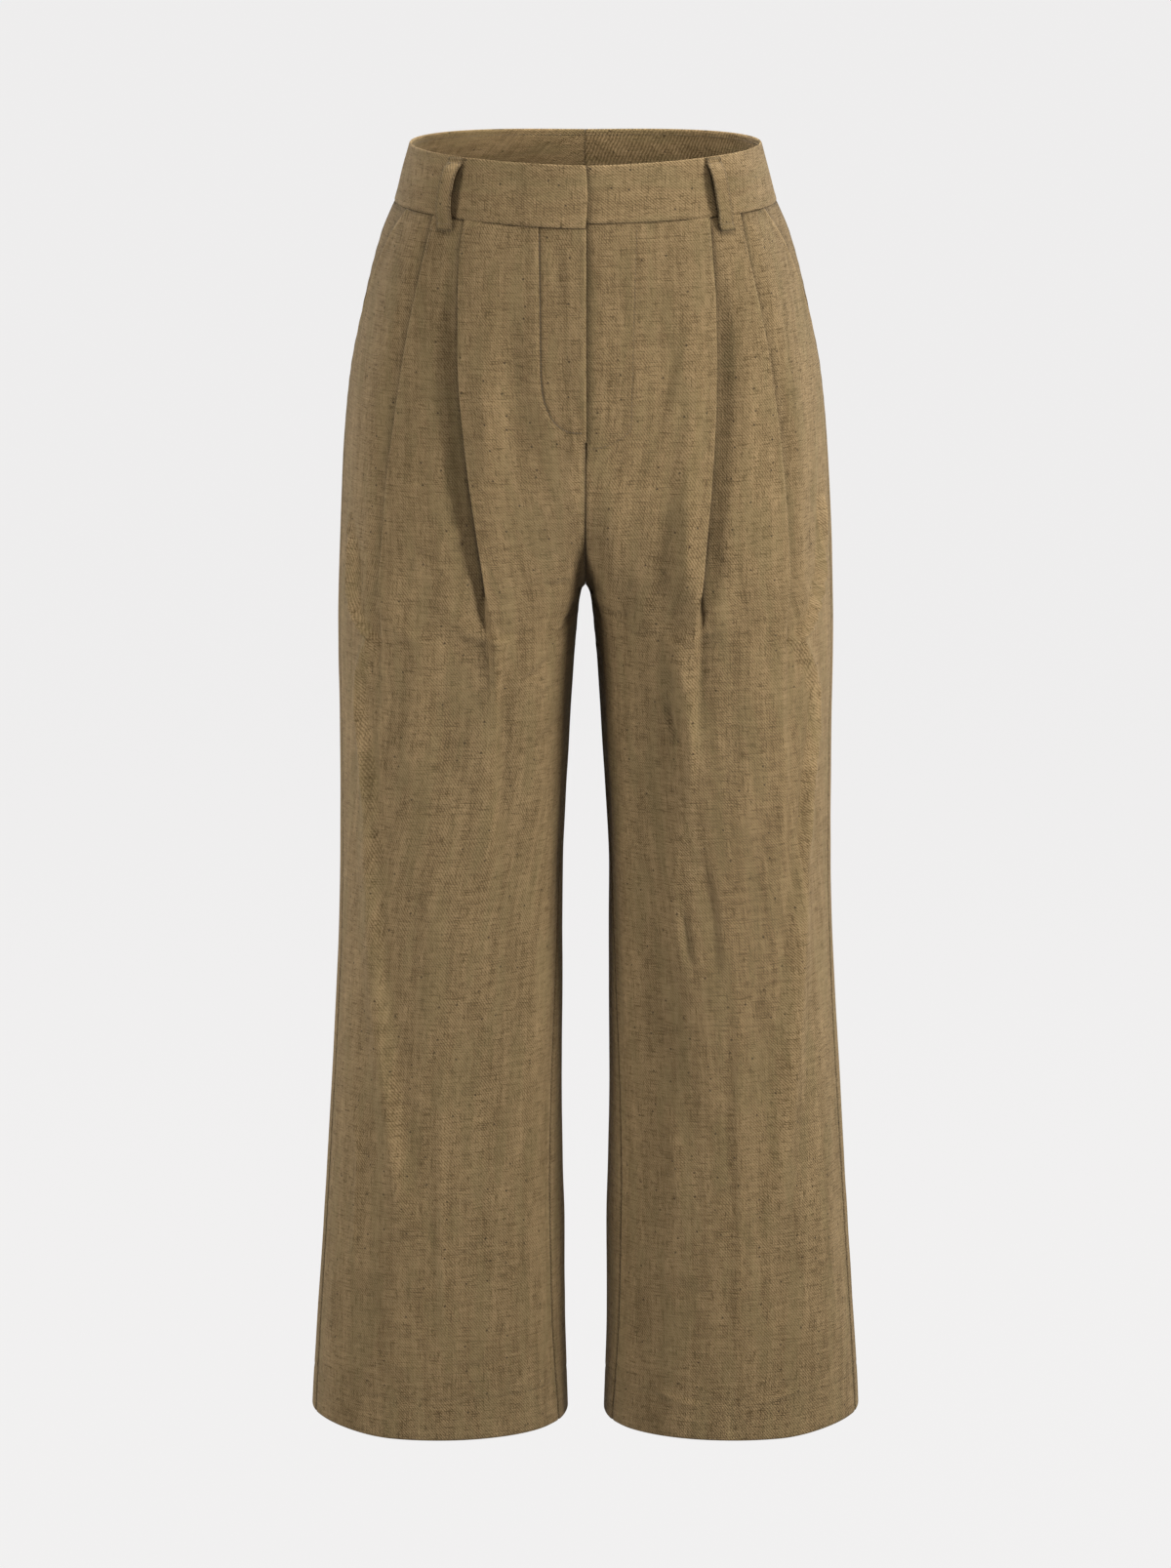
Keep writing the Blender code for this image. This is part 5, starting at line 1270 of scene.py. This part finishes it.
def belt_loop(record):
    node, side, u_top, u_bottom, half, lean = record
    path = LOOP_PATH_ROWS if half == "front" else BACK_LOOP_PATH_ROWS
    zs, offs = named(path, LOOP_PATH_COLUMNS, "z"), named(path, LOOP_PATH_COLUMNS, "off")
    stations = []
    for z in np.linspace(zs[0], zs[-1], 46):
        off = float(through(zs, offs, z))
        q = (z - zs[0]) / (zs[-1] - zs[0])
        u = u_bottom + (u_top - u_bottom) * q + lean * math.sin(math.pi * q) * 2
        row = Row(lambda share, z=z: np.full_like(share, z), 0.0, 1.0, 240)
        if half == "front":
            pick = row.share <= 0.5
            s = float(np.interp(u, row.point[pick, 0], row.length[pick]))
        else:
            pick = row.share >= 0.5
            s = float(np.interp(u, row.point[pick, 0][::-1], row.length[pick][::-1]))
        centre = row.at(np.array([s]), np.array([off]))[0]
        ahead, behind = row.at(np.array([s + 2 * MM, s - 2 * MM]), np.zeros(2))
        if u_top == 0.0:
            centre[0], across = 0.0, np.array([-1.0, 0.0, 0.0])
        else:
            across = (ahead - behind) / np.linalg.norm(ahead - behind)
        stations.append((centre, across))
    c = np.array([a for a, _ in stations])
    across = np.array([b for _, b in stations])
    up = np.gradient(c, axis=0)
    up /= np.linalg.norm(up, axis=1, keepdims=True)
    out = np.cross(across, up)
    out /= np.linalg.norm(out, axis=1, keepdims=True)
    # cross section: flat strip with rounded edges and a slight hollow by the stitches
    w = np.array([-1.0, -0.985, -0.94, -0.84, -0.76, -0.68, -0.4, 0.0, 0.4, 0.68, 0.76, 0.84,
                  0.94, 0.985, 1.0])
    half_t = 0.75 * MM * np.array([0.15, 0.55, 0.92, 1.0, 0.82, 1.0, 1.05, 1.05, 1.05, 1.0,
                                   0.82, 1.0, 0.92, 0.55, 0.15])
    ends = np.ones(len(c))
    ends[:2], ends[-2:] = (0.35, 0.85), (0.85, 0.35)
    bow = np.array([1 - x * x for x in w]) * 0.25 * MM
    wob = 1 + 0.02 * np.sin(np.linspace(0, 9, len(c)))
    grid_o = (c[:, None] + across[:, None] * (w[None, :, None] * LOOP_WIDTH / 2) * wob[:, None, None]
              + out[:, None] * ((half_t[None] * ends[:, None])[..., None] + bow[None, :, None]))
    grid_i = (c[:, None] + across[:, None] * (w[None, :, None] * LOOP_WIDTH / 2) * wob[:, None, None]
              - out[:, None] * ((half_t[None] * ends[:, None])[..., None] - bow[None, :, None]))
    uv = np.stack(np.broadcast_arrays(w[None] * LOOP_WIDTH / 2 + 1.0, c[:, 2:3]), -1)
    # painted shade along the loop's edges, in the hollows of its stitch rows and at its turned ends
    tone = np.array([-0.66, -0.62, -0.50, 0.02, -0.26, 0.08, 0.04, 0.02, 0.04, 0.08, -0.26, 0.02,
                     -0.50, -0.62, -0.66])
    tone = 1 + tone[None] - np.where(ends < 0.5, 0.50, np.where(ends < 0.9, 0.34, 0.0))[:, None]
    obj = shell("trouser_" + node, grid_o[::-1], grid_i[::-1], uv[::-1], side == "right",
                tone[::-1])
    return obj, dict(points=grid_o[::-1], normals=np.repeat(out[::-1][:, None], len(w), 1),
                     across=w, mirror=side == "right")


for record in LOOP_ROWS:
    built[record[0]] = belt_loop(record)


# ================================================================== stitches
class Thread:
    """Small rounded stitches gathered into one mesh."""

    def __init__(self):
        self.verts, self.quads, self.count = [], [], 0

    def stitch(self, a, b, normal, radius, sink=0.0):
        a, b, normal = (np.asarray(v, float) for v in (a, b, normal))
        axis = b - a
        length = np.linalg.norm(axis)
        if length < 1e-6:
            return
        axis /= length
        n = normal - axis * (normal @ axis)
        n /= max(np.linalg.norm(n), 1e-9)
        t = np.cross(axis, n)
        rings = ((0.0, 0.30, -0.7), (0.14, 0.85, 0.0), (0.5, 1.0, 0.35), (0.86, 0.85, 0.0),
                 (1.0, 0.30, -0.7))
        base = self.count
        for q, r, lift in rings:
            centre = a + axis * length * q + n * (radius * lift - sink)
            for k in range(6):
                ang = math.pi * k / 3
                self.verts.append(centre + (t * math.cos(ang) + n * math.sin(ang) * 0.8) * radius * r)
        for i in range(4):
            for k in range(6):
                p, q = base + i * 6 + k, base + i * 6 + (k + 1) % 6
                self.quads.append((p, q, q + 6, p + 6))
        self.quads.append((base, base + 5, base + 4, base + 3))
        self.quads.append((base, base + 3, base + 2, base + 1))
        e = base + 24
        self.quads.append((e, e + 1, e + 2, e + 3))
        self.quads.append((e, e + 3, e + 4, e + 5))
        self.count += 30

    def run(self, path, normals, pitch=2.6 * MM, radius=0.20 * MM, fill=0.80, lift=0.12 * MM):
        path, normals = np.asarray(path, float), np.asarray(normals, float)
        d = np.concatenate([[0.0], np.cumsum(np.linalg.norm(np.diff(path, axis=0), axis=1))])
        total = d[-1]
        count = max(1, int(total / pitch))
        for k in range(count):
            lo, hi = k * total / count, (k + fill) * total / count
            a = np.array([np.interp(lo, d, path[:, j]) for j in range(3)])
            b = np.array([np.interp(hi, d, path[:, j]) for j in range(3)])
            n = np.array([np.interp(lo, d, normals[:, j]) for j in range(3)])
            n /= max(np.linalg.norm(n), 1e-9)
            self.stitch(a + n * lift, b + n * lift, n, radius)

    def build(self, name):
        verts = np.array(self.verts)
        uv = verts[:, [0, 2]]
        obj = bpy.data.objects.new(name, make_mesh(name, verts, self.quads, uv))
        bpy.context.scene.collection.objects.link(obj)
        return obj


def _sorted(a, b):
    order = np.argsort(a, kind="stable")
    return a[order], b[order]


def nearest_on(info, targets):
    """Points and normals of the panel's face nearest to targets given as (u, z)."""
    pts, nor = info["points"].reshape(-1, 3), info["normals"].reshape(-1, 3)
    out_p, out_n = [], []
    front_side = nor[:, 1] < 0.15
    for u, z in targets:
        d = (pts[:, 0] - u) ** 2 + (pts[:, 2] - z) ** 2 + np.where(front_side, 0.0, 1.0)
        k = np.argpartition(d, 6)[:6]
        # of the closest points the one that lies on top
        w = 1.0 / (d[k] + 1e-8)
        top = pts[k, 1].min()
        w = w * (pts[k, 1] < top + 1.2 * MM)
        w /= w.sum()
        y = (pts[k, 1] * w).sum()
        n = (nor[k] * w[:, None]).sum(0)
        out_p.append((u, y, z))
        out_n.append(n / np.linalg.norm(n))
    return np.array(out_p), np.array(out_n)


def flip_x(points):
    return np.asarray(points) * (-1, 1, 1)


threads = {}
threads["fly"] = Thread()

# fly: J-shaped row of stitches on the right front, drawn down from the waist seam
path = spline(np.array(J_POINTS) * MM, 140)[6:]
p, n = nearest_on(built["front_right"][1], path)
threads["fly"].run(flip_x(p), flip_x(n), pitch=2.7 * MM, radius=0.30 * MM, lift=0.02 * MM)
# the shield's row shows through on the left front
path = spline(np.array(SHIELD_POINTS) * MM, 140)
p, n = nearest_on(built["front_left"][1], path)
threads["fly"].run(p, n, pitch=2.7 * MM, radius=0.19 * MM, lift=-0.03 * MM, fill=0.6)

# belt loops: two rows down each strip, bars at both ends
threads["loops"] = Thread()
for record in LOOP_ROWS:
    info = built[record[0]][1]
    pts, nor = info["points"], info["normals"]
    turn = flip_x if info["mirror"] else (lambda v: v)
    for col in (4, 10):
        threads["loops"].run(turn(pts[2:-2, col]), turn(nor[2:-2, col]), pitch=2.5 * MM,
                             radius=0.18 * MM, lift=-0.02 * MM)
    for r in (4, 41):
        threads["loops"].run(turn(pts[r, 2:13]), turn(nor[r, 2:13]), pitch=1.3 * MM,
                             radius=0.20 * MM, lift=0.0, fill=0.85)

# waistband: a row just under the top edge inside
threads["band"] = Thread()
for side in ("left", "right"):
    info = built["waistband_" + side][1]
    inner = info["inner"]
    turn = flip_x if info["mirror"] else (lambda v: v)
    normal = -face_normals(inner)
    row = 5
    threads["band"].run(turn(inner[row]), turn(normal[row]), pitch=2.8 * MM, radius=0.18 * MM,
                        lift=0.02 * MM)

# pleats are caught down for the first 30 mm under the band
threads["pleats"] = Thread()
for side in ("left", "right"):
    for which in ("inner", "outer"):
        line = pleat_line(side, which)
        zs = np.linspace(-0.026, -0.050 if which == "inner" else -0.048, 24)
        target = [(float(line(z)) - 1.0 * MM, z) for z in zs]
        p, n = nearest_on(built["front_" + side][1], target)
        turn = flip_x if side == "right" else (lambda v: v)
        threads["pleats"].run(turn(p), turn(n), pitch=2.4 * MM, radius=0.17 * MM,
                              lift=0.03 * MM, fill=0.7)

# hems: tiny pick stitches where the turned-up edge is caught
threads["hems"] = Thread()
for name in ("front_left", "front_right", "back_left", "back_right"):
    info = built[name][1]
    turn = flip_x if info["mirror"] else (lambda v: v)
    r = int(np.argmin(np.abs(info["z"][:, 40] - (HEM_Z + HEM_DEPTH))))
    pts, nor = info["points"][r], info["normals"][r]
    d = np.concatenate([[0.0], np.cumsum(np.linalg.norm(np.diff(pts, axis=0), axis=1))])
    count = int(d[-1] / (7.5 * MM))
    for k in range(count):
        at = (k + 0.5) * d[-1] / count
        a = np.array([np.interp(at, d, pts[:, j]) for j in range(3)])
        b = np.array([np.interp(at + 1.1 * MM, d, pts[:, j]) for j in range(3)])
        nn = np.array([np.interp(at, d, nor[:, j]) for j in range(3)])
        threads["hems"].stitch(turn(a), turn(b), turn(nn), 0.14 * MM)


# ================================================================== cloth material
def node(tree, kind, at=None, **values):
    n = tree.nodes.new(kind)
    for key, value in values.items():
        setattr(n, key, value)
    return n


def math_node(tree, op, a, b=None, clamp=False):
    n = tree.nodes.new("ShaderNodeMath")
    n.operation = op
    n.use_clamp = clamp
    for k, v in enumerate((a, b)):
        if v is None:
            continue
        if isinstance(v, (int, float)):
            n.inputs[k].default_value = v
        else:
            tree.links.new(v, n.inputs[k])
    return n.outputs[0]


def scaled(tree, vector, sx, sy, offset=0.0):
    n = tree.nodes.new("ShaderNodeMapping")
    n.inputs["Scale"].default_value = (sx, sy, 1.0)
    n.inputs["Location"].default_value = (offset, offset * 0.7, 0.0)
    tree.links.new(vector, n.inputs["Vector"])
    return n.outputs[0]


def noise(tree, vector, detail=2.0, rough=0.5):
    n = tree.nodes.new("ShaderNodeTexNoise")
    n.noise_dimensions = "2D"
    n.inputs["Scale"].default_value = 1.0
    n.inputs["Detail"].default_value = detail
    n.inputs["Roughness"].default_value = rough
    tree.links.new(vector, n.inputs["Vector"])
    return n.outputs["Fac"]


def mapped(tree, value, lo, hi, out_lo, out_hi):
    n = tree.nodes.new("ShaderNodeMapRange")
    n.clamp = True
    n.interpolation_type = "SMOOTHSTEP"
    n.inputs["From Min"].default_value = lo
    n.inputs["From Max"].default_value = hi
    n.inputs["To Min"].default_value = out_lo
    n.inputs["To Max"].default_value = out_hi
    tree.links.new(value, n.inputs["Value"])
    return n.outputs["Result"]


def mix_colour(tree, factor, a, b, blend="MIX"):
    n = tree.nodes.new("ShaderNodeMix")
    n.data_type = "RGBA"
    n.blend_type = blend
    n.clamp_result = False
    for sock, value in (("Factor", factor), ("A", a), ("B", b)):
        target = [i for i in n.inputs if i.name == sock and i.enabled][0]
        if isinstance(value, tuple):
            target.default_value = value
        elif isinstance(value, (int, float)):
            target.default_value = value
        else:
            tree.links.new(value, target)
    return [o for o in n.outputs if o.enabled][0]


LIGHT = (0.272, 0.189, 0.096, 1.0)
DARK = (0.096, 0.063, 0.027, 1.0)
OLIVE = (0.154, 0.119, 0.054, 1.0)
FLECK = (0.032, 0.021, 0.011, 1.0)


def twill(name, turn=1.0, shade=1.0):
    """Slubbed twill; the map is in metres along and down the cloth."""
    mat = bpy.data.materials.new(name)
    mat.use_nodes = True
    tree = mat.node_tree
    bsdf = tree.nodes["Principled BSDF"]
    uv = tree.nodes.new("ShaderNodeUVMap")
    uv.uv_map = "cloth"
    uv = uv.outputs["UV"]
    sep = tree.nodes.new("ShaderNodeSeparateXYZ")
    tree.links.new(uv, sep.inputs[0])
    u, v = sep.outputs[0], sep.outputs[1]
    # twill line, 1.7 mm apart, at 52 degrees
    wander = noise(tree, scaled(tree, uv, 90.0, 60.0), 2.0)
    ang = math.radians(52.0)
    phase = math_node(tree, "ADD",
                      math_node(tree, "MULTIPLY", u, math.sin(ang) * turn * 2 * math.pi / 0.0017),
                      math_node(tree, "MULTIPLY", v, math.cos(ang) * 2 * math.pi / 0.0017))
    phase = math_node(tree, "ADD", phase, math_node(tree, "MULTIPLY", wander, 5.0))
    line = math_node(tree, "MULTIPLY_ADD", math_node(tree, "SINE", phase), 0.5)
    line.node.inputs[2].default_value = 0.5
    # single yarns and their unevenness
    grain = noise(tree, scaled(tree, uv, 1500.0, 1500.0), 1.0)
    warp = noise(tree, scaled(tree, uv, 1300.0, 60.0, 3.0), 2.0, 0.6)
    weft = noise(tree, scaled(tree, uv, 50.0, 1200.0, 7.0), 2.0, 0.6)
    mottle = noise(tree, scaled(tree, uv, 430.0, 430.0, 9.0), 2.0, 0.6)
    slub_v = mapped(tree, noise(tree, scaled(tree, uv, 900.0, 105.0, 11.0), 1.0), 0.63, 0.76, 0, 1)
    slub_h = mapped(tree, noise(tree, scaled(tree, uv, 95.0, 1050.0, 17.0), 1.0), 0.62, 0.75, 0, 1)
    long_h = mapped(tree, noise(tree, scaled(tree, uv, 38.0, 760.0, 19.0), 1.0), 0.68, 0.80, 0, 1)
    light_h = mapped(tree, noise(tree, scaled(tree, uv, 80.0, 900.0, 29.0), 1.0), 0.62, 0.78, 0, 1)
    streak = noise(tree, scaled(tree, uv, 150.0, 9.0, 23.0), 3.0, 0.6)
    bar = noise(tree, scaled(tree, uv, 13.0, 260.0, 31.0), 3.0, 0.6)
    cloud = noise(tree, scaled(tree, uv, 42.0, 20.0, 41.0), 3.0, 0.55)
    tint = noise(tree, scaled(tree, uv, 60.0, 14.0, 57.0), 2.0, 0.55)
    # dark flecks
    vor = tree.nodes.new("ShaderNodeTexVoronoi")
    vor.voronoi_dimensions = "2D"
    vor.feature = "F1"
    vor.inputs["Scale"].default_value = 1.0
    tree.links.new(scaled(tree, uv, 62.0, 62.0, 5.0), vor.inputs["Vector"])
    spot = mapped(tree, vor.outputs["Distance"], 0.030, 0.065, 1.0, 0.0)
    sepc = tree.nodes.new("ShaderNodeSeparateColor")
    tree.links.new(vor.outputs["Color"], sepc.inputs[0])
    keep = mapped(tree, sepc.outputs[0], 0.60, 0.75, 0.0, 1.0)
    fleck = math_node(tree, "MULTIPLY", spot, keep)

    # amount of light yarn
    t = math_node(tree, "MULTIPLY_ADD", line, 0.52)
    t.node.inputs[2].default_value = 0.24
    for value, amount in ((grain, 1.00), (warp, 0.80), (weft, 0.62), (streak, 0.66), (bar, 0.34),
                          (cloud, 0.46), (mottle, 0.26)):
        centred = math_node(tree, "SUBTRACT", value, 0.5)
        t = math_node(tree, "ADD", t, math_node(tree, "MULTIPLY", centred, amount))
    t = math_node(tree, "ADD", t, math_node(tree, "MULTIPLY", light_h, 0.22))
    t = math_node(tree, "SUBTRACT", t, math_node(tree, "MULTIPLY", slub_v, 0.46))
    t = math_node(tree, "SUBTRACT", t, math_node(tree, "MULTIPLY", long_h, 0.34))
    t = math_node(tree, "SUBTRACT", t, math_node(tree, "MULTIPLY", slub_h, 0.50), clamp=True)
    light = tuple(c * shade for c in LIGHT[:3]) + (1.0,)
    dark = tuple(c * shade for c in DARK[:3]) + (1.0,)
    colour = mix_colour(tree, t, dark, light)
    colour = mix_colour(tree, mapped(tree, tint, 0.46, 0.66, 0.0, 0.30), colour,
                        tuple(c * shade for c in OLIVE[:3]) + (1.0,))
    colour = mix_colour(tree, math_node(tree, "MULTIPLY", fleck, 0.85), colour, FLECK)
    # the tone attribute multiplies the colour: painted shade and painted highlight, and darker seams
    painted_shade_tone = tree.nodes.new("ShaderNodeAttribute")
    painted_shade_tone.attribute_type = "GEOMETRY"
    painted_shade_tone.attribute_name = "tone"
    grey = tree.nodes.new("ShaderNodeCombineColor")
    for k in range(3):
        tree.links.new(painted_shade_tone.outputs["Fac"], grey.inputs[k])
    colour = mix_colour(tree, 1.0, colour, grey.outputs[0], "MULTIPLY")
    tree.links.new(colour, bsdf.inputs["Base Color"])
    # relief of the weave and of the thick yarns
    height = math_node(tree, "MULTIPLY", line, 0.55)
    height = math_node(tree, "ADD", height, math_node(tree, "MULTIPLY", grain, 0.55))
    height = math_node(tree, "ADD", height, math_node(tree, "MULTIPLY", warp, 0.45))
    height = math_node(tree, "ADD", height, math_node(tree, "MULTIPLY", weft, 0.45))
    height = math_node(tree, "ADD", height, math_node(tree, "MULTIPLY", slub_v, 0.6))
    height = math_node(tree, "ADD", height, math_node(tree, "MULTIPLY", slub_h, 0.5))
    bump = tree.nodes.new("ShaderNodeBump")
    bump.inputs["Strength"].default_value = 0.80
    bump.inputs["Distance"].default_value = 0.00045
    tree.links.new(height, bump.inputs["Height"])
    tree.links.new(bump.outputs["Normal"], bsdf.inputs["Normal"])
    rough = mapped(tree, t, 0.0, 1.0, 0.93, 0.82)
    tree.links.new(rough, bsdf.inputs["Roughness"])
    bsdf.inputs["Specular IOR Level"].default_value = 0.16
    bsdf.inputs["Sheen Weight"].default_value = 0.06
    bsdf.inputs["Sheen Roughness"].default_value = 0.45
    bsdf.inputs["Sheen Tint"].default_value = (0.80, 0.66, 0.45, 1.0)
    return mat


def thread_material():
    mat = bpy.data.materials.new("sewing_thread")
    mat.use_nodes = True
    tree = mat.node_tree
    bsdf = tree.nodes["Principled BSDF"]
    tc = tree.nodes.new("ShaderNodeTexCoord")
    ply = tree.nodes.new("ShaderNodeTexNoise")
    ply.inputs["Scale"].default_value = 900.0
    ply.inputs["Detail"].default_value = 2.0
    tree.links.new(tc.outputs["Object"], ply.inputs["Vector"])
    colour = mix_colour(tree, ply.outputs["Fac"], (0.070, 0.049, 0.026, 1.0),
                        (0.150, 0.108, 0.058, 1.0))
    tree.links.new(colour, bsdf.inputs["Base Color"])
    bump = tree.nodes.new("ShaderNodeBump")
    bump.inputs["Strength"].default_value = 0.4
    bump.inputs["Distance"].default_value = 0.0001
    tree.links.new(ply.outputs["Fac"], bump.inputs["Height"])
    tree.links.new(bump.outputs["Normal"], bsdf.inputs["Normal"])
    bsdf.inputs["Roughness"].default_value = 0.7
    bsdf.inputs["Sheen Weight"].default_value = 0.1
    return mat


cloth_mat = twill("cloth_twill")
band_mat = twill("cloth_twill_band", 1.0, 1.0)
thread_mat = thread_material()

for key, (obj, info) in built.items():
    obj.data.materials.append(band_mat if "waistband" in key or "loop" in key else cloth_mat)
    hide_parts(key)
    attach(obj, "root")
stitch_objects = {}
for key, thread in threads.items():
    obj = thread.build("stitches_" + key)
    obj.data.materials.append(thread_mat)
    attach(obj, "root")
    stitch_objects[key] = obj


# ================================================================== cloth areas
def grid_area(points):
    a = np.cross(points[1:, 1:] - points[:-1, :-1], points[1:, :-1] - points[:-1, 1:])
    return float(np.linalg.norm(a, axis=-1).sum() / 2)


# flat is the cut of what shows (width, length) in metres, area where it isn't a rectangle
SHEETS = {
    "front_left": ((0.328, 0.955), 0.247), "front_right": ((0.330, 0.955), 0.245),
    "back_left": ((0.417, 0.955), 0.324), "back_right": ((0.417, 0.955), 0.324),
    "waistband_left": ((0.439, 0.046), 0.0186), "waistband_right": ((0.402, 0.046), 0.0173),
    "fly_shield": ((0.068, 0.166), 0.0107),
    "pocket_facing_left": ((0.050, 0.118), 0.0035), "pocket_facing_right": ((0.050, 0.118), 0.0035),
    "belt_loop_front_left": ((0.013, 0.056), None), "belt_loop_front_right": ((0.013, 0.056), None),
    "belt_loop_back_left": ((0.013, 0.051), None), "belt_loop_back_right": ((0.013, 0.051), None),
    "belt_loop_back_centre": ((0.013, 0.051), None),
}
for key, (flat, area) in SHEETS.items():
    obj, info = built[key]
    print("AREA", key, round(grid_area(info["points"]), 5), flat, area)

# ================================================================== studio
FLOOR_Z = -1.36


def emit_floor():
    mat = bpy.data.materials.new("studio_floor")
    mat.use_nodes = True
    tree = mat.node_tree
    bsdf = tree.nodes["Principled BSDF"]
    bsdf.inputs["Base Color"].default_value = (0.020, 0.020, 0.020, 1.0)
    bsdf.inputs["Roughness"].default_value = 1.0
    bsdf.inputs["Specular IOR Level"].default_value = 0.0
    bsdf.inputs["Emission Color"].default_value = (1.0, 0.991, 0.991, 1.0)
    bsdf.inputs["Emission Strength"].default_value = 0.855
    return mat


mesh = bpy.data.meshes.new("studio_floor")
R = 60.0
mesh.from_pydata([(-R, -R, FLOOR_Z), (R, -R, FLOOR_Z), (R, R, FLOOR_Z), (-R, R, FLOOR_Z)], [],
                 [(0, 1, 2, 3)])
floor = bpy.data.objects.new("studio_floor", mesh)
bpy.context.scene.collection.objects.link(floor)
floor.data.materials.append(emit_floor())
floor.visible_diffuse = False      # its glow is the backdrop, the lamps light the cloth

world = bpy.data.worlds.new("studio")
bpy.context.scene.world = world
world.use_nodes = True
background = world.node_tree.nodes["Background"]
background.inputs["Color"].default_value = (1.0, 0.965, 0.90, 1.0)
background.inputs["Strength"].default_value = 0.10


def area_light(name, at, aim, size, power, colour=(1.0, 0.985, 0.96)):
    data = bpy.data.lights.new(name, "AREA")
    data.shape = "RECTANGLE"
    data.size, data.size_y = size
    data.energy = power
    data.color = colour
    obj = bpy.data.objects.new(name, data)
    bpy.context.scene.collection.objects.link(obj)
    obj.location = at
    obj.visible_camera = False
    direction = Vector(aim) - Vector(at)
    obj.rotation_euler = direction.to_track_quat("-Z", "Y").to_euler()
    return obj


# LIGHTS: name, place, aim, size, power
area_light("key_right", (1.50, -0.92, -0.12), (0.0, -0.05, -0.28), (0.45, 0.60), 40.0)
area_light("fill_left", (-1.22, -0.76, -0.47), (0.0, -0.05, -0.45), (0.45, 0.45), 15.2)
area_light("front", (0.70, -3.20, 0.70), (0.0, 0.0, -0.35), (1.0, 1.0), 19.5, (1.0, 0.950, 0.86))
area_light("top", (0.10, -1.15, 1.75), (0.0, 0.05, -0.05), (0.5, 0.5), 12.0)
area_light("opening", (0.0, -0.05, 0.30), (0.0, 0.10, 0.0), (0.14, 0.14), 2.1)
area_light("back_left", (-1.9, 2.2, 0.9), (0.0, 0.0, -0.30), (0.9, 1.3), 62.0)
area_light("back_right", (1.9, 2.2, 1.0), (0.0, 0.0, -0.30), (0.9, 1.3), 80.0)

scene = bpy.context.scene
scene.view_settings.view_transform = "Standard"
scene.view_settings.look = "None"
scene.view_settings.exposure = 0.0
scene.view_settings.gamma = 1.0
